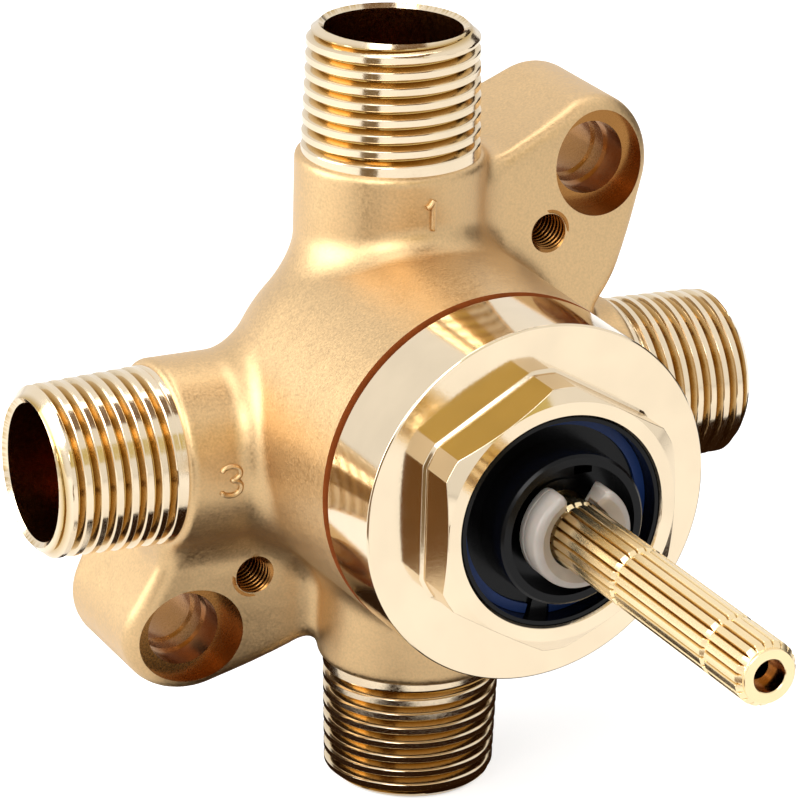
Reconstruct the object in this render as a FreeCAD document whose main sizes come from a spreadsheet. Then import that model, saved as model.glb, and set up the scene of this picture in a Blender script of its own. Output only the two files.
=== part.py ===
"""Concealed shower valve body: a brass casting with four male ports and a disc cartridge.

The stem's axis is the Y axis and the stem points to -Y. The plane y = 0 holds the axes
of the three outlets, and +Z is up, towards outlet 1. Lengths are in millimetres.
"""
import FreeCAD, Part
import math
import os
import re

import Sketcher
from FreeCAD import Placement, Rotation, Vector

SIZES = {
    # Ports: distances from the stem's axis, and radii about each port's own axis
    "port_reach": 46.5,
    "boss_reach": 30.8,
    "boss_radius": 11.55,
    "boss_edge": 1.0,
    "crest_radius": 10.35,
    "ridge_radius": 8.94,
    "mouth_chamfer": 1.25,
    "mouth_sink": 0.51,
    "thread_pitch": 1.814,
    "thread_depth": 1.1,
    "first_groove": 2.3,
    "groove_half": 0.62,
    "port_bore": 8.32,
    "port_bore_end": 29.0,
    "passage_radius": 5.2,
    "inlet_passage": 6.0,
    "inlet_forward": 9.05,
    "side_drop": 3.7,
    "outlet_circle": 7.4,
    "outlet_side": 6.41,
    "outlet_hole": 3.3,
    "top_passage_end": 4.5,
    "side_passage_end": 3.0,
    "inlet_passage_end": 11.0,
    # Casting: stations are distances forward of the outlets' plane
    "casting_front": 28.13,
    "casting_front_radius": 21.76,
    "dome_centre": 5.0,
    "dome_radius": 22.05,
    "back_plane": 16.0,
    "thread_bore": 18.05,
    "thread_bore_end": 20.5,
    "seal_bore": 17.4,
    "seal_bore_end": 16.5,
    "chamber_radius": 14.9,
    "chamber_floor": 7.5,
    # Ears: distances along the diagonal from the stem's axis
    "ear_front": 5.16,
    "ear_hole_reach": 37.95,
    "ear_end_radius": 7.85,
    "ear_flare": 22.0,
    "ear_shoulder": 26.0,
    "rib_half": 9.0,
    "ear_break": 31.5,
    "ear_fall": 0.268,
    "ear_run": 16.0,
    "ear_face_width": 22.6,
    "ear_sink_radius": 6.4,
    "ear_sink_floor": 0.6,
    "ear_hole_radius": 4.6,
    "ear_step_radius": 4.3,
    "ear_step_back": 3.6,
    "ear_throat_radius": 4.0,
    "ear_throat_back": 6.3,
    "tap_reach": 27.5,
    "tap_mouth": 2.72,
    "tap_radius": 2.25,
    "tap_back": 9.0,
    # Bonnet
    "neck_end": 16.8,
    "pilot_radius": 17.35,
    "pilot_front": 20.8,
    "neck_radius": 18.0,
    "neck_bore": 14.7,
    "seat_front": 30.3,
    "ring_slot_rear": 18.1,
    "ring_slot_front": 20.0,
    "ring_slot_radius": 15.7,
    "flange_back": 29.05,
    "flange_radius": 21.75,
    "flange_back_chamfer": 0.44,
    "flange_front": 39.8,
    "flange_front_chamfer": 0.19,
    "hex_flats": 29.2,
    "hex_corner": 16.1,
    "bonnet_front": 45.96,
    "hex_chamfer": 0.9,
    "face_radius": 14.54,
    "bonnet_bore": 12.69,
    # Cartridge housing
    "base_back": 7.7,
    "base_front": 12.7,
    "housing_radius": 14.6,
    "housing_inside": 12.6,
    "housing_shoulder": 30.2,
    "ceiling": 28.0,
    "rim_radius": 12.62,
    "rim_inside": 12.15,
    "rim_front": 45.6,
    "channel_floor": 39.0,
    "channel_inside": 10.9,
    "gland_front": 42.9,
    "sleeve_radius": 9.1,
    "sleeve_front": 48.4,
    "sleeve_inside": 7.9,
    "sleeve_edge": 0.3,
    "recess_floor": 45.2,
    "lip_front": 45.5,
    "lip_back": 44.3,
    "lip_radius": 5.2,
    "lip_bore": 3.85,
    "stem_bore": 4.95,
    "collar_seat": 31.6,
    "collar_bore": 6.8,
    "housing_slot_rear": 33.0,
    "housing_slot_front": 34.8,
    "housing_slot_radius": 11.2,
    "window_rear": 14.6,
    "window_front": 21.4,
    "window_width": 11.0,
    "key_front": 43.5,
    "key_angle": 263.0,
    "stop_inside": 8.6,
    "stop_rear": 25.0,
    "stop_angle": 59.0,
    "key_turn": 11.0,
    "notch_left": 1.6,
    "notch_right": 3.9,
    "notch_low": 5.4,
    "notch_high": 7.0,
    "notch_floor": 43.4,
    # Stop ring
    "ring_outside": 12.1,
    "ring_inside": 10.95,
    "ring_back": 39.05,
    "ring_front": 43.3,
    "ring_opening": 15.0,
    # Stem and its clip
    "stem_tip": 91.95,
    "crest_stem": 3.75,
    "root_stem": 3.2,
    "tooth_count": 20,
    "tooth_half": 0.65,
    "tooth_out": 0.3,
    "spline_start": 47.9,
    "tip_chamfer": 0.27,
    "tip_sink": 1.9,
    "tip_sink_depth": 2.6,
    "tip_bore": 1.35,
    "tip_bore_depth": 13.0,
    "mark_first": 49.7,
    "mark_second": 64.2,
    "mark_third": 84.0,
    "mark_half": 0.5,
    "mark_depth": 0.5,
    "clip_seat": 3.2,
    "barrel_radius": 4.9,
    "barrel_front": 44.2,
    "slot_radius": 3.6,
    "slot_width": 1.8,
    "rear_slot": 33.6,
    "front_slot": 38.6,
    "collar_radius": 6.5,
    "collar_front": 31.3,
    "collar_back": 28.9,
    "tang_end": 22.0,
    "tang_radius": 4.9,
    "tang_width": 6.0,
    "clip_back": 47.1,
    "clip_front": 51.2,
    "clip_radius": 6.2,
    "clip_edge": 0.9,
    "clip_dish": 0.9,
    "clip_step": 47.8,
    "clip_throat": 4.0,
    "clip_opening": 55.0,
    "clip_middle": 88.0,
    "washer_radius": 6.7,
    "washer_bore": 5.0,
    # Discs, carrier and base
    "carrier_radius": 12.4,
    "carrier_back": 21.0,
    "carrier_face": 24.6,
    "hub_radius": 7.6,
    "hub_front": 27.6,
    "lug_front": 27.7,
    "lug_angle": 60.0,
    "socket_play": 0.3,
    "drive_pin": 1.5,
    "drive_reach": 7.6,
    "drive_length": 1.6,
    "moving_radius": 12.2,
    "moving_back": 16.92,
    "moving_front": 20.96,
    "fan_inner": 3.9,
    "fan_inner_half": 3.4,
    "fan_outer": 13.0,
    "fan_outer_half": 10.0,
    "fixed_radius": 12.5,
    "fixed_back": 12.92,
    "fixed_front": 16.9,
    "seal_pocket": 4.9,
    "seal_pocket_depth": 1.3,
    "seal_middle": 4.1,
    "seal_section": 0.74,
    "base_hole": 3.2,
    "locating_pin": 1.5,
    "locating_x": 8.6,
    "locating_z": 6.6,
    "locating_depth": 2.2,
    "locating_floor": 5.0,
    "fit_gap": 0.1,
    "slip": 0.01,
    "overrun": 1.0,
}

doc = FreeCAD.newDocument("ShowerValve")
sheet = doc.addObject("Spreadsheet::Sheet", "dims")
for row, (size_name, size) in enumerate(SIZES.items(), start=1):
    sheet.set("A%d" % row, size_name)
    sheet.set("B%d" % row, str(size))
    sheet.setAlias("B%d" % row, size_name)
doc.recompute()


def number(word):
    """The value of one term: sizes' names or plain numbers joined by * or /."""
    if word.startswith("-"):
        return -number(word[1:])
    total = 1.0
    for factor in word.split("*"):
        top, *below = factor.split("/")
        total *= float(SIZES.get(top, top))
        for divisor in below:
            total /= float(SIZES.get(divisor, divisor))
    return total


def value(words):
    """The value of a sum of words parted by spaces, such as 'port_reach - mouth_sink'."""
    if words.startswith("-("):
        return -value(words[2:-1])
    total = 0.0
    sign = 1.0
    for word in words.split():
        if word in ("+", "-"):
            sign = 1.0 if word == "+" else -1.0
        else:
            total += sign * number(word)
    return total


def formula(words):
    """The same sum as an expression on the sheet's cells."""
    def cell(name):
        return "dims." + name.group() if name.group() in SIZES else name.group()
    return re.sub(r"[a-z][a-z_]*", cell, words)


def negative(words):
    """The same sum with its sign turned, as for a station forward of the outlets' plane."""
    if words == "0":
        return words
    return words[2:-1] if words.startswith("-(") else "-(" + words + ")"


def less(front, rear):
    """The length between two stations."""
    turned = rear.replace(" - ", " # ").replace(" + ", " - ").replace(" # ", " + ")
    return front + " - " + turned


def new_body(label):
    body = doc.addObject("PartDesign::Body", label)
    body.Label = label
    body.Placement = Placement()
    return body


def new_sketch(body, name, plane, offset=None, turn=None):
    """A sketch on one of the body's own planes, moved and turned within it."""
    sketch = body.newObject("Sketcher::SketchObject", name)
    support = [item for item in body.Origin.OriginFeatures if item.Role == plane][0]
    sketch.AttachmentSupport = [(support, "")]
    sketch.MapMode = "FlatFace"
    if turn:
        sketch.AttachmentOffset = Placement(Vector(), Rotation(*turn))
    for direction, words in (offset or {}).items():
        sketch.setExpression("AttachmentOffset.Base." + direction, formula(words))
    return sketch


def hold(sketch, kind, item, end, words):
    """Hold a point's place on one axis by a size, or on the axis itself where it is 0."""
    if words == "0":
        axis = -2 if kind == "DistanceX" else -1
        sketch.addConstraint(Sketcher.Constraint("PointOnObject", item, end, axis))
        return
    rule = Sketcher.Constraint(kind, -1, 1, item, end, value(words))
    spot = sketch.addConstraint(rule)
    sketch.setExpression("Constraints[%d]" % spot, formula(words))


def draw(sketch, points):
    """A closed outline of straight lines whose corners are all held by sizes."""
    first = sketch.GeometryCount
    count = len(points)
    corners = [Vector(value(across), value(along), 0) for across, along in points]
    lines = [Part.LineSegment(corners[i], corners[(i + 1) % count]) for i in range(count)]
    sketch.addGeometry(lines, False)
    for i in range(count):
        following = first + (i + 1) % count
        sketch.addConstraint(Sketcher.Constraint("Coincident", first + i, 2, following, 1))
    for i, (across, along) in enumerate(points):
        hold(sketch, "DistanceX", first + i, 1, across)
        hold(sketch, "DistanceY", first + i, 1, along)
    return sketch


def box_outline(sketch, left, right, low, high):
    return draw(sketch, [(left, low), (right, low), (right, high), (left, high)])


def ring(sketch, across, up, radius):
    """A circle held by its centre and its radius."""
    circle = Part.Circle(Vector(value(across), value(up), 0), Vector(0, 0, 1), value(radius))
    item = sketch.addGeometry(circle, False)
    hold(sketch, "DistanceX", item, 3, across)
    hold(sketch, "DistanceY", item, 3, up)
    spot = sketch.addConstraint(Sketcher.Constraint("Radius", item, value(radius)))
    sketch.setExpression("Constraints[%d]" % spot, formula(radius))
    return item


def spin(body, kind, name, sketch, axis, angle=None):
    """Turn a profile about an axis of its own sketch: kind is Revolution or Groove."""
    feature = body.newObject("PartDesign::" + kind, name)
    feature.Profile = sketch
    feature.ReferenceAxis = (sketch, [axis])
    feature.Angle = 360.0
    if angle:
        feature.Midplane = True
        feature.setExpression("Angle", formula(angle))
    return feature


def push(body, kind, name, sketch, length, both=False):
    """Carry a profile along its normal: kind is Pad or Pocket."""
    feature = body.newObject("PartDesign::" + kind, name)
    feature.Profile = sketch
    feature.Length = value(length)
    feature.setExpression("Length", formula(length))
    feature.Midplane = both
    return feature


def repeat(body, name, feature, sketch, count):
    """Copies of a feature spread evenly about the sketch's own normal."""
    pattern = body.newObject("PartDesign::PolarPattern", name)
    pattern.Originals = [feature]
    pattern.Axis = (sketch, ["N_Axis"])
    pattern.Angle = 360.0
    pattern.Occurrences = int(value(count))
    pattern.setExpression("Occurrences", formula(count))
    body.Tip = pattern
    return pattern


def stations(points):
    return [(negative(station), radius) for station, radius in points]


def turned(label, points):
    """A body turned about the stem's axis, from points of (station forward, radius)."""
    body = new_body(label)
    sketch = draw(new_sketch(body, label + "_profile", "YZ_Plane"), stations(points))
    spin(body, "Revolution", label + "_turned", sketch, "H_Axis")
    return body


def sector(body, kind, name, points, angle, middle):
    """A profile turned through part of a circle whose middle lies at an angle from +X."""
    turn = (Vector(1, 0, 0), 90.0 - value(middle))
    sketch = draw(new_sketch(body, name + "_profile", "YZ_Plane", None, turn), stations(points))
    return spin(body, kind, name, sketch, "H_Axis", angle)


def grooved(body, name, points):
    """A groove turned into a body about the stem's axis."""
    sketch = draw(new_sketch(body, name + "_profile", "YZ_Plane"), stations(points))
    return spin(body, "Groove", name, sketch, "H_Axis")


def slot(body, name, rear, front, floor, top):
    """A square groove about the stem's axis, from its floor's radius past the outside."""
    return grooved(body, name, [(rear, floor), (front, floor), (front, top), (rear, top)])


def drilled(body, name, spots, radius, rear, front):
    """Round holes along the stem's axis, from the front station back to the rear one."""
    sketch = new_sketch(body, name + "_circles", "XZ_Plane", {"z": front})
    for across, up in spots:
        ring(sketch, across, up, radius)
    return push(body, "Pocket", name, sketch, less(front, rear))


def pegs(body, name, spots, radius, rear, front):
    """Round pegs along the stem's axis, from the rear station to the front one."""
    sketch = new_sketch(body, name + "_circles", "XZ_Plane", {"z": rear})
    for across, up in spots:
        ring(sketch, across, up, radius)
    return push(body, "Pad", name, sketch, less(front, rear))


def edges_where(shape, test):
    """Names of the edges whose middle point passes a test."""
    found = []
    for index, edge in enumerate(shape.Edges, start=1):
        span = edge.ParameterRange
        middle = edge.valueAt((span[0] + span[1]) / 2)
        if test(edge, middle):
            found.append("Edge%d" % index)
    return found


def rounded(body, name, base, radius, test):
    """Round the edges of a feature that pass a test."""
    doc.recompute()
    fillet = body.newObject("PartDesign::Fillet", name)
    fillet.Base = (base, edges_where(base.Shape, test))
    fillet.Radius = value(radius)
    fillet.setExpression("Radius", formula(radius))
    return fillet


def scaled(words, factor):
    """A sum of words with each of its terms multiplied by a factor."""
    return " ".join(word if word in ("+", "-") else "%s*%.8f" % (word, factor)
                    for word in words.split())


def o_ring(label, station, middle, section, across="0", up="0"):
    """A squeezed rubber ring with an eight-sided section, about a line along the stem."""
    body = new_body(label)
    sketch = new_sketch(body, label + "_profile", "YZ_Plane", {"z": across, "y": up})
    short = math.tan(math.pi / 8)
    corners = []
    for along, outward in ((1, short), (short, 1), (-short, 1), (-1, short),
                           (-1, -short), (-short, -1), (short, -1), (1, -short)):
        corners.append(tuple(
            middle_words + " + " + scaled(section, share) if share > 0
            else less(middle_words, scaled(section, -share))
            for middle_words, share in ((station, along), (middle, outward))))
    draw(sketch, stations(corners))
    spin(body, "Revolution", label + "_turned", sketch, "H_Axis")
    return body


GROOVES = 7
OUTLETS = (("0", "outlet_circle"), ("outlet_side", "-side_drop"), ("-outlet_side", "-side_drop"))
LEGS = (
    ("outlet_one", "YZ_Plane", None, "V_Axis", 1),
    ("outlet_two", "XZ_Plane", {"y": "-side_drop"}, "H_Axis", 1),
    ("outlet_three", "XZ_Plane", {"y": "-side_drop"}, "H_Axis", -1),
    ("inlet", "YZ_Plane", {"x": "-inlet_forward"}, "V_Axis", -1),
)


def leg_profile(body, name, leg, points):
    """Points of (distance from the stem's axis, radius) set out along one port's axis."""
    plane, offset, axis, sign = leg
    sketch = new_sketch(body, name + "_profile", plane, offset)
    placed = []
    for along, radius in points:
        signed = along if sign > 0 else negative(along)
        placed.append((radius, signed) if axis == "V_Axis" else (signed, radius))
    return draw(sketch, placed)


def add_barrel(body):
    """The round barrel behind the bonnet, closed by a dome with a flat back."""
    sketch = new_sketch(body, "barrel_profile", "YZ_Plane")
    rise = value("back_plane + dome_centre")
    flat_radius = math.sqrt(value("dome_radius") ** 2 - rise ** 2)
    front = Vector(-value("casting_front"), 0, 0)
    front_edge = Vector(-value("casting_front"), value("casting_front_radius"), 0)
    shoulder = Vector(-value("dome_centre"), value("dome_radius"), 0)
    back_edge = Vector(value("back_plane"), flat_radius, 0)
    back = Vector(value("back_plane"), 0, 0)
    centre = Vector(-value("dome_centre"), 0, 0)
    circle = Part.Circle(centre, Vector(0, 0, 1), value("dome_radius"))
    dome = Part.ArcOfCircle(circle, math.atan2(flat_radius, rise), math.pi / 2)
    sketch.addGeometry([
        Part.LineSegment(front, front_edge),
        Part.LineSegment(front_edge, shoulder),
        dome,
        Part.LineSegment(back_edge, back),
        Part.LineSegment(back, front),
    ], False)
    for first, first_end, second, second_end in (
            (0, 2, 1, 1), (1, 2, 2, 2), (2, 1, 3, 1), (3, 2, 4, 1), (4, 2, 0, 1)):
        rule = Sketcher.Constraint("Coincident", first, first_end, second, second_end)
        sketch.addConstraint(rule)
    for line in (0, 3):
        sketch.addConstraint(Sketcher.Constraint("Vertical", line))
    hold(sketch, "DistanceY", 0, 1, "0")
    hold(sketch, "DistanceY", 4, 1, "0")
    hold(sketch, "DistanceY", 2, 3, "0")
    hold(sketch, "DistanceX", 0, 1, "-casting_front")
    hold(sketch, "DistanceY", 0, 2, "casting_front_radius")
    hold(sketch, "DistanceX", 2, 3, "-dome_centre")
    hold(sketch, "DistanceX", 2, 2, "-dome_centre")
    hold(sketch, "DistanceX", 3, 1, "back_plane")
    spot = sketch.addConstraint(Sketcher.Constraint("Radius", 2, value("dome_radius")))
    sketch.setExpression("Constraints[%d]" % spot, formula("dome_radius"))
    spin(body, "Revolution", "barrel", sketch, "H_Axis")


def add_legs(body):
    """Four round bosses, each with a taper-threaded spigot and a knife-edged mouth.

    The thread is cut as plain ring grooves at its real pitch and depth.
    """
    spigot_root = "crest_radius + port_reach/32 - boss_reach/32"
    grooves = []
    for turn in range(GROOVES):
        middle = "port_reach - first_groove - thread_pitch*%d" % turn
        crest = "crest_radius + first_groove/32 + thread_pitch*%d/32" % turn
        grooves += [
            (middle + " + groove_half", crest + " - groove_half/32"),
            (middle, crest + " - thread_depth"),
            (middle + " - groove_half", crest + " + groove_half/32"),
        ]
    outline = [
        ("0", "0"),
        ("port_reach - mouth_sink", "0"),
        ("port_reach - mouth_sink", "port_bore"),
        ("port_reach", "ridge_radius"),
        ("port_reach - mouth_chamfer", "crest_radius + mouth_chamfer/32"),
        *grooves,
        ("boss_reach", spigot_root),
        ("boss_reach", "boss_radius - boss_edge"),
        ("boss_reach - boss_edge", "boss_radius"),
        ("0", "boss_radius"),
    ]
    for name, *leg in LEGS:
        sketch = leg_profile(body, name, leg, outline)
        spin(body, "Revolution", name, sketch, leg[2])


def ear_outline(sketch):
    """A round end about the screw hole, sides that spread to the bosses, and a back rib."""
    flare = math.radians(value("ear_flare"))
    reach = value("ear_hole_reach")
    end_radius = value("ear_end_radius")
    tangent = Vector(reach + end_radius * math.sin(flare), end_radius * math.cos(flare), 0)
    widest = Vector(value("ear_shoulder"), 0, 0)
    widest.y = tangent.y + (tangent.x - widest.x) * math.tan(flare)
    rib = Vector(0, value("rib_half"), 0)

    def across(point):
        return Vector(point.x, -point.y, 0)
    circle = Part.Circle(Vector(reach, 0, 0), Vector(0, 0, 1), end_radius)
    sketch.addGeometry([
        Part.ArcOfCircle(circle, flare - math.pi / 2, math.pi / 2 - flare),
        Part.LineSegment(tangent, widest),
        Part.LineSegment(widest, rib),
        Part.LineSegment(rib, across(rib)),
        Part.LineSegment(across(rib), across(widest)),
        Part.LineSegment(across(widest), across(tangent)),
    ], False)
    sketch.addConstraint([
        Sketcher.Constraint("Tangent", 0, 2, 1, 1),
        Sketcher.Constraint("Coincident", 1, 2, 2, 1),
        Sketcher.Constraint("Coincident", 2, 2, 3, 1),
        Sketcher.Constraint("Coincident", 3, 2, 4, 1),
        Sketcher.Constraint("Coincident", 4, 2, 5, 1),
        Sketcher.Constraint("Tangent", 5, 2, 0, 1),
        Sketcher.Constraint("Symmetric", 1, 2, 4, 2, -1),
        Sketcher.Constraint("Symmetric", 2, 2, 3, 2, -1),
    ])
    hold(sketch, "DistanceY", 0, 3, "0")
    hold(sketch, "DistanceX", 0, 3, "ear_hole_reach")
    hold(sketch, "DistanceX", 1, 2, "ear_shoulder")
    hold(sketch, "DistanceX", 2, 2, "0")
    hold(sketch, "DistanceY", 2, 2, "rib_half")
    spot = sketch.addConstraint(Sketcher.Constraint("Radius", 0, end_radius))
    sketch.setExpression("Constraints[%d]" % spot, formula("ear_end_radius"))
    spot = sketch.addConstraint(Sketcher.Constraint("DistanceY", -1, 1, 1, 2, widest.y))
    sketch.setExpression("Constraints[%d]" % spot, formula(
        "ear_end_radius * cos(ear_flare) + tan(ear_flare)"
        " * (ear_hole_reach + ear_end_radius * sin(ear_flare) - ear_shoulder)"))
    return sketch


def add_ears(body):
    """Two screw ears on one diagonal, flat by the barrel and sloped beyond a break line."""
    for name, angle in (("upper_ear", 45), ("lower_ear", 225)):
        outline = new_sketch(body, name + "_outline", "XZ_Plane", {"z": "-back_plane"},
                             (Vector(0, 0, 1), angle))
        push(body, "Pad", name, ear_outline(outline), "back_plane + ear_front")
        slope = new_sketch(body, name + "_slope", "XY_Plane", None, (Vector(0, 1, 0), -angle))
        draw(slope, [
            ("ear_break", "-ear_front"),
            ("ear_break + ear_run", "ear_run*ear_fall - ear_front"),
            ("ear_break + ear_run", "-(ear_front + overrun)"),
            ("ear_break", "-(ear_front + overrun)"),
        ])
        push(body, "Pocket", name + "_face", slope, "ear_face_width", True)


def cut_water_ways(body):
    """The cartridge chamber, the bore and passage of each port, and the outlets' holes."""
    grooved(body, "chamber", [
        ("chamber_floor", "0"),
        ("chamber_floor", "chamber_radius"),
        ("seal_bore_end", "chamber_radius"),
        ("seal_bore_end", "seal_bore"),
        ("thread_bore_end", "seal_bore"),
        ("thread_bore_end", "thread_bore"),
        ("casting_front + overrun", "thread_bore"),
        ("casting_front + overrun", "0"),
    ])
    ends = ("top_passage_end", "side_passage_end", "side_passage_end", "inlet_passage_end")
    for (name, *leg), end in zip(LEGS, ends):
        passage = "inlet_passage" if name == "inlet" else "passage_radius"
        sketch = leg_profile(body, name + "_bore", leg, [
            (end, "0"),
            (end, passage),
            ("port_bore_end - port_bore + " + passage, passage),
            ("port_bore_end", "port_bore"),
            ("port_reach", "port_bore"),
            ("port_reach", "0"),
        ])
        spin(body, "Groove", name + "_way", sketch, leg[2])
    drilled(body, "outlet_holes", OUTLETS, "outlet_hole", "0", "chamber_floor")
    spots = [("locating_x", "locating_z")]
    drilled(body, "locating_hole", spots, "locating_pin + fit_gap", "locating_floor", "chamber_floor")


def cut_ear_holes(body):
    """A counterbored screw hole and a tapped hole in each ear."""
    for name, angle in (("upper", 45), ("lower", 225)):
        for hole, reach, points in (
                ("screw_hole", "ear_hole_reach", [
                    ("0", "-(ear_front + overrun)"),
                    ("ear_sink_radius", "-(ear_front + overrun)"),
                    ("ear_sink_radius", "-ear_sink_floor"),
                    ("ear_hole_radius", "-ear_sink_floor"),
                    ("ear_hole_radius", "ear_step_back"),
                    ("ear_step_radius", "ear_step_back"),
                    ("ear_step_radius", "ear_throat_back"),
                    ("ear_throat_radius", "ear_throat_back"),
                    ("ear_throat_radius", "back_plane + overrun"),
                    ("0", "back_plane + overrun"),
                ]),
                ("tapped_hole", "tap_reach", [
                    ("0", "-(ear_front + overrun)"),
                    ("tap_mouth + overrun", "-(ear_front + overrun)"),
                    ("tap_radius", "tap_mouth - tap_radius - ear_front"),
                    ("tap_radius", "tap_back"),
                    ("0", "tap_back + tap_radius/2"),
                ])):
            offset = {"x": "%s * cos(%d)" % (reach, angle), "z": "%s * sin(%d)" % (reach, angle)}
            sketch = new_sketch(body, name + "_" + hole + "_profile", "XY_Plane", offset,
                                (Vector(0, 1, 0), -angle))
            spin(body, "Groove", name + "_" + hole, draw(sketch, points), "V_Axis")


def make_valve_body():
    """The casting: a domed barrel, four bossed spigots, two screw ears and the water ways."""
    body = new_body("valve_body")
    add_barrel(body)
    add_legs(body)
    add_ears(body)
    doc.recompute()
    cut_water_ways(body)
    cut_ear_holes(body)
    return body


def make_bonnet():
    """The bonnet: a threaded neck, a round flange, and a hexagon turned down at its corners."""
    body = turned("bonnet_nut", [
        ("neck_end", "neck_bore"),
        ("neck_end", "pilot_radius"),
        ("pilot_front", "pilot_radius"),
        ("pilot_front", "neck_radius"),
        ("flange_back", "neck_radius"),
        ("flange_back", "flange_radius - flange_back_chamfer"),
        ("flange_back + flange_back_chamfer", "flange_radius"),
        ("flange_front - flange_front_chamfer", "flange_radius"),
        ("flange_front", "flange_radius - flange_front_chamfer"),
        ("flange_front", "hex_corner"),
        ("bonnet_front - hex_chamfer", "hex_corner"),
        ("bonnet_front", "face_radius"),
        ("bonnet_front", "bonnet_bore"),
        ("seat_front", "bonnet_bore"),
        ("seat_front", "neck_bore"),
    ])
    slot(body, "neck_slot", "ring_slot_rear", "ring_slot_front", "ring_slot_radius",
         "neck_radius + overrun")
    tall = "hex_flats*%.8f" % (1 / math.sqrt(3))
    low = "hex_flats*%.8f" % (1 / math.sqrt(12))
    sketch = new_sketch(body, "flats_outline", "XZ_Plane", {"z": "bonnet_front + overrun"})
    ring(sketch, "0", "0", "hex_corner + overrun")
    draw(sketch, [
        ("0", tall), ("hex_flats/2", low), ("hex_flats/2", "-" + low),
        ("0", "-" + tall), ("-hex_flats/2", "-" + low), ("-hex_flats/2", low),
    ])
    push(body, "Pocket", "flats", sketch, "bonnet_front + overrun - flange_front")
    return body


def make_housing():
    """The cartridge housing: a windowed barrel, a gland, a front channel and a sleeve."""
    body = turned("cartridge_housing", [
        ("base_front", "housing_inside"),
        ("base_front", "housing_radius"),
        ("housing_shoulder", "housing_radius"),
        ("housing_shoulder", "rim_radius"),
        ("rim_front", "rim_radius"),
        ("rim_front", "rim_inside"),
        ("channel_floor", "rim_inside"),
        ("channel_floor", "channel_inside"),
        ("gland_front", "channel_inside"),
        ("gland_front", "sleeve_radius"),
        ("sleeve_front - sleeve_edge", "sleeve_radius"),
        ("sleeve_front", "sleeve_radius - sleeve_edge"),
        ("sleeve_front", "sleeve_inside"),
        ("recess_floor", "sleeve_inside"),
        ("recess_floor", "lip_radius"),
        ("lip_front", "lip_radius"),
        ("lip_front", "lip_bore"),
        ("lip_back", "lip_bore"),
        ("lip_back", "stem_bore"),
        ("collar_seat", "stem_bore"),
        ("collar_seat", "collar_bore"),
        ("ceiling", "collar_bore"),
        ("ceiling", "housing_inside"),
    ])
    slot(body, "housing_slot", "housing_slot_rear", "housing_slot_front",
         "housing_slot_radius", "rim_radius + overrun")
    window = new_sketch(body, "window_outline", "XY_Plane")
    box_outline(window, "-window_width/2", "window_width/2", "-window_front", "-window_rear")
    cut = push(body, "Pocket", "window", window, "housing_radius + overrun")
    cut.Reversed = True
    pattern = body.newObject("PartDesign::PolarPattern", "windows")
    pattern.Originals = [cut]
    pattern.Axis = (window, ["V_Axis"])
    pattern.Angle = 360.0
    pattern.Occurrences = 3
    body.Tip = pattern
    sector(body, "Revolution", "stop_rib", [
        ("stop_rear", "stop_inside"),
        ("ceiling + overrun", "stop_inside"),
        ("ceiling + overrun", "housing_inside + overrun"),
        ("stop_rear", "housing_inside + overrun"),
    ], "stop_angle", "270")
    sector(body, "Revolution", "channel_key", [
        ("channel_floor - overrun", "channel_inside - overrun"),
        ("key_front", "channel_inside - overrun"),
        ("key_front", "rim_inside + slip"),
        ("channel_floor - overrun", "rim_inside + slip"),
    ], "key_turn", "key_angle")
    notch = new_sketch(body, "notch_outline", "XZ_Plane", {"z": "recess_floor"})
    box_outline(notch, "notch_left", "notch_right", "notch_low", "notch_high")
    push(body, "Pocket", "notch", notch, "recess_floor - notch_floor")
    return body


def make_stem():
    """The stem: a tang, a collar, a barrel with two ring slots and a long splined end."""
    body = turned("splined_stem", [
        ("tang_end", "0"),
        ("tang_end", "tang_radius"),
        ("collar_back", "tang_radius"),
        ("collar_back", "collar_radius"),
        ("collar_front", "collar_radius"),
        ("collar_front", "barrel_radius"),
        ("barrel_front", "barrel_radius"),
        ("barrel_front", "clip_seat"),
        ("spline_start", "clip_seat"),
        ("spline_start", "crest_stem"),
        ("stem_tip - tip_chamfer", "crest_stem"),
        ("stem_tip", "crest_stem - tip_chamfer"),
        ("stem_tip", "tip_sink"),
        ("stem_tip - tip_sink_depth", "tip_sink"),
        ("stem_tip - tip_sink_depth", "tip_bore"),
        ("stem_tip - tip_bore_depth", "tip_bore"),
        ("stem_tip - tip_bore_depth", "0"),
    ])
    for name, rear in (("slot_rear", "rear_slot"), ("slot_front", "front_slot")):
        slot(body, name, rear, rear + " + slot_width", "slot_radius", "barrel_radius + overrun")
    flats = new_sketch(body, "tang_flats", "XZ_Plane", {"z": "collar_back"})
    for near, far in (("tang_width/2", "barrel_radius + overrun"),
                      ("-tang_width/2", "-(barrel_radius + overrun)")):
        box_outline(flats, near, far, "-(barrel_radius + overrun)", "barrel_radius + overrun")
    push(body, "Pocket", "tang", flats, "collar_back - tang_end")
    valley = new_sketch(body, "tooth_valley", "XZ_Plane", {"z": "stem_tip"})
    draw(valley, [
        ("0", "root_stem"),
        ("tooth_half", "crest_stem + tooth_out"),
        ("-tooth_half", "crest_stem + tooth_out"),
    ])
    cut = push(body, "Pocket", "tooth_cut", valley, "stem_tip - spline_start")
    repeat(body, "teeth", cut, valley, "tooth_count")
    for name, station in (("mark_a", "mark_first"), ("mark_b", "mark_second"),
                          ("mark_c", "mark_third")):
        grooved(body, name, [
            (station, "crest_stem - mark_depth"),
            (station + " + mark_half", "crest_stem + slip"),
            (station + " - mark_half", "crest_stem + slip"),
        ])
    return body


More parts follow.
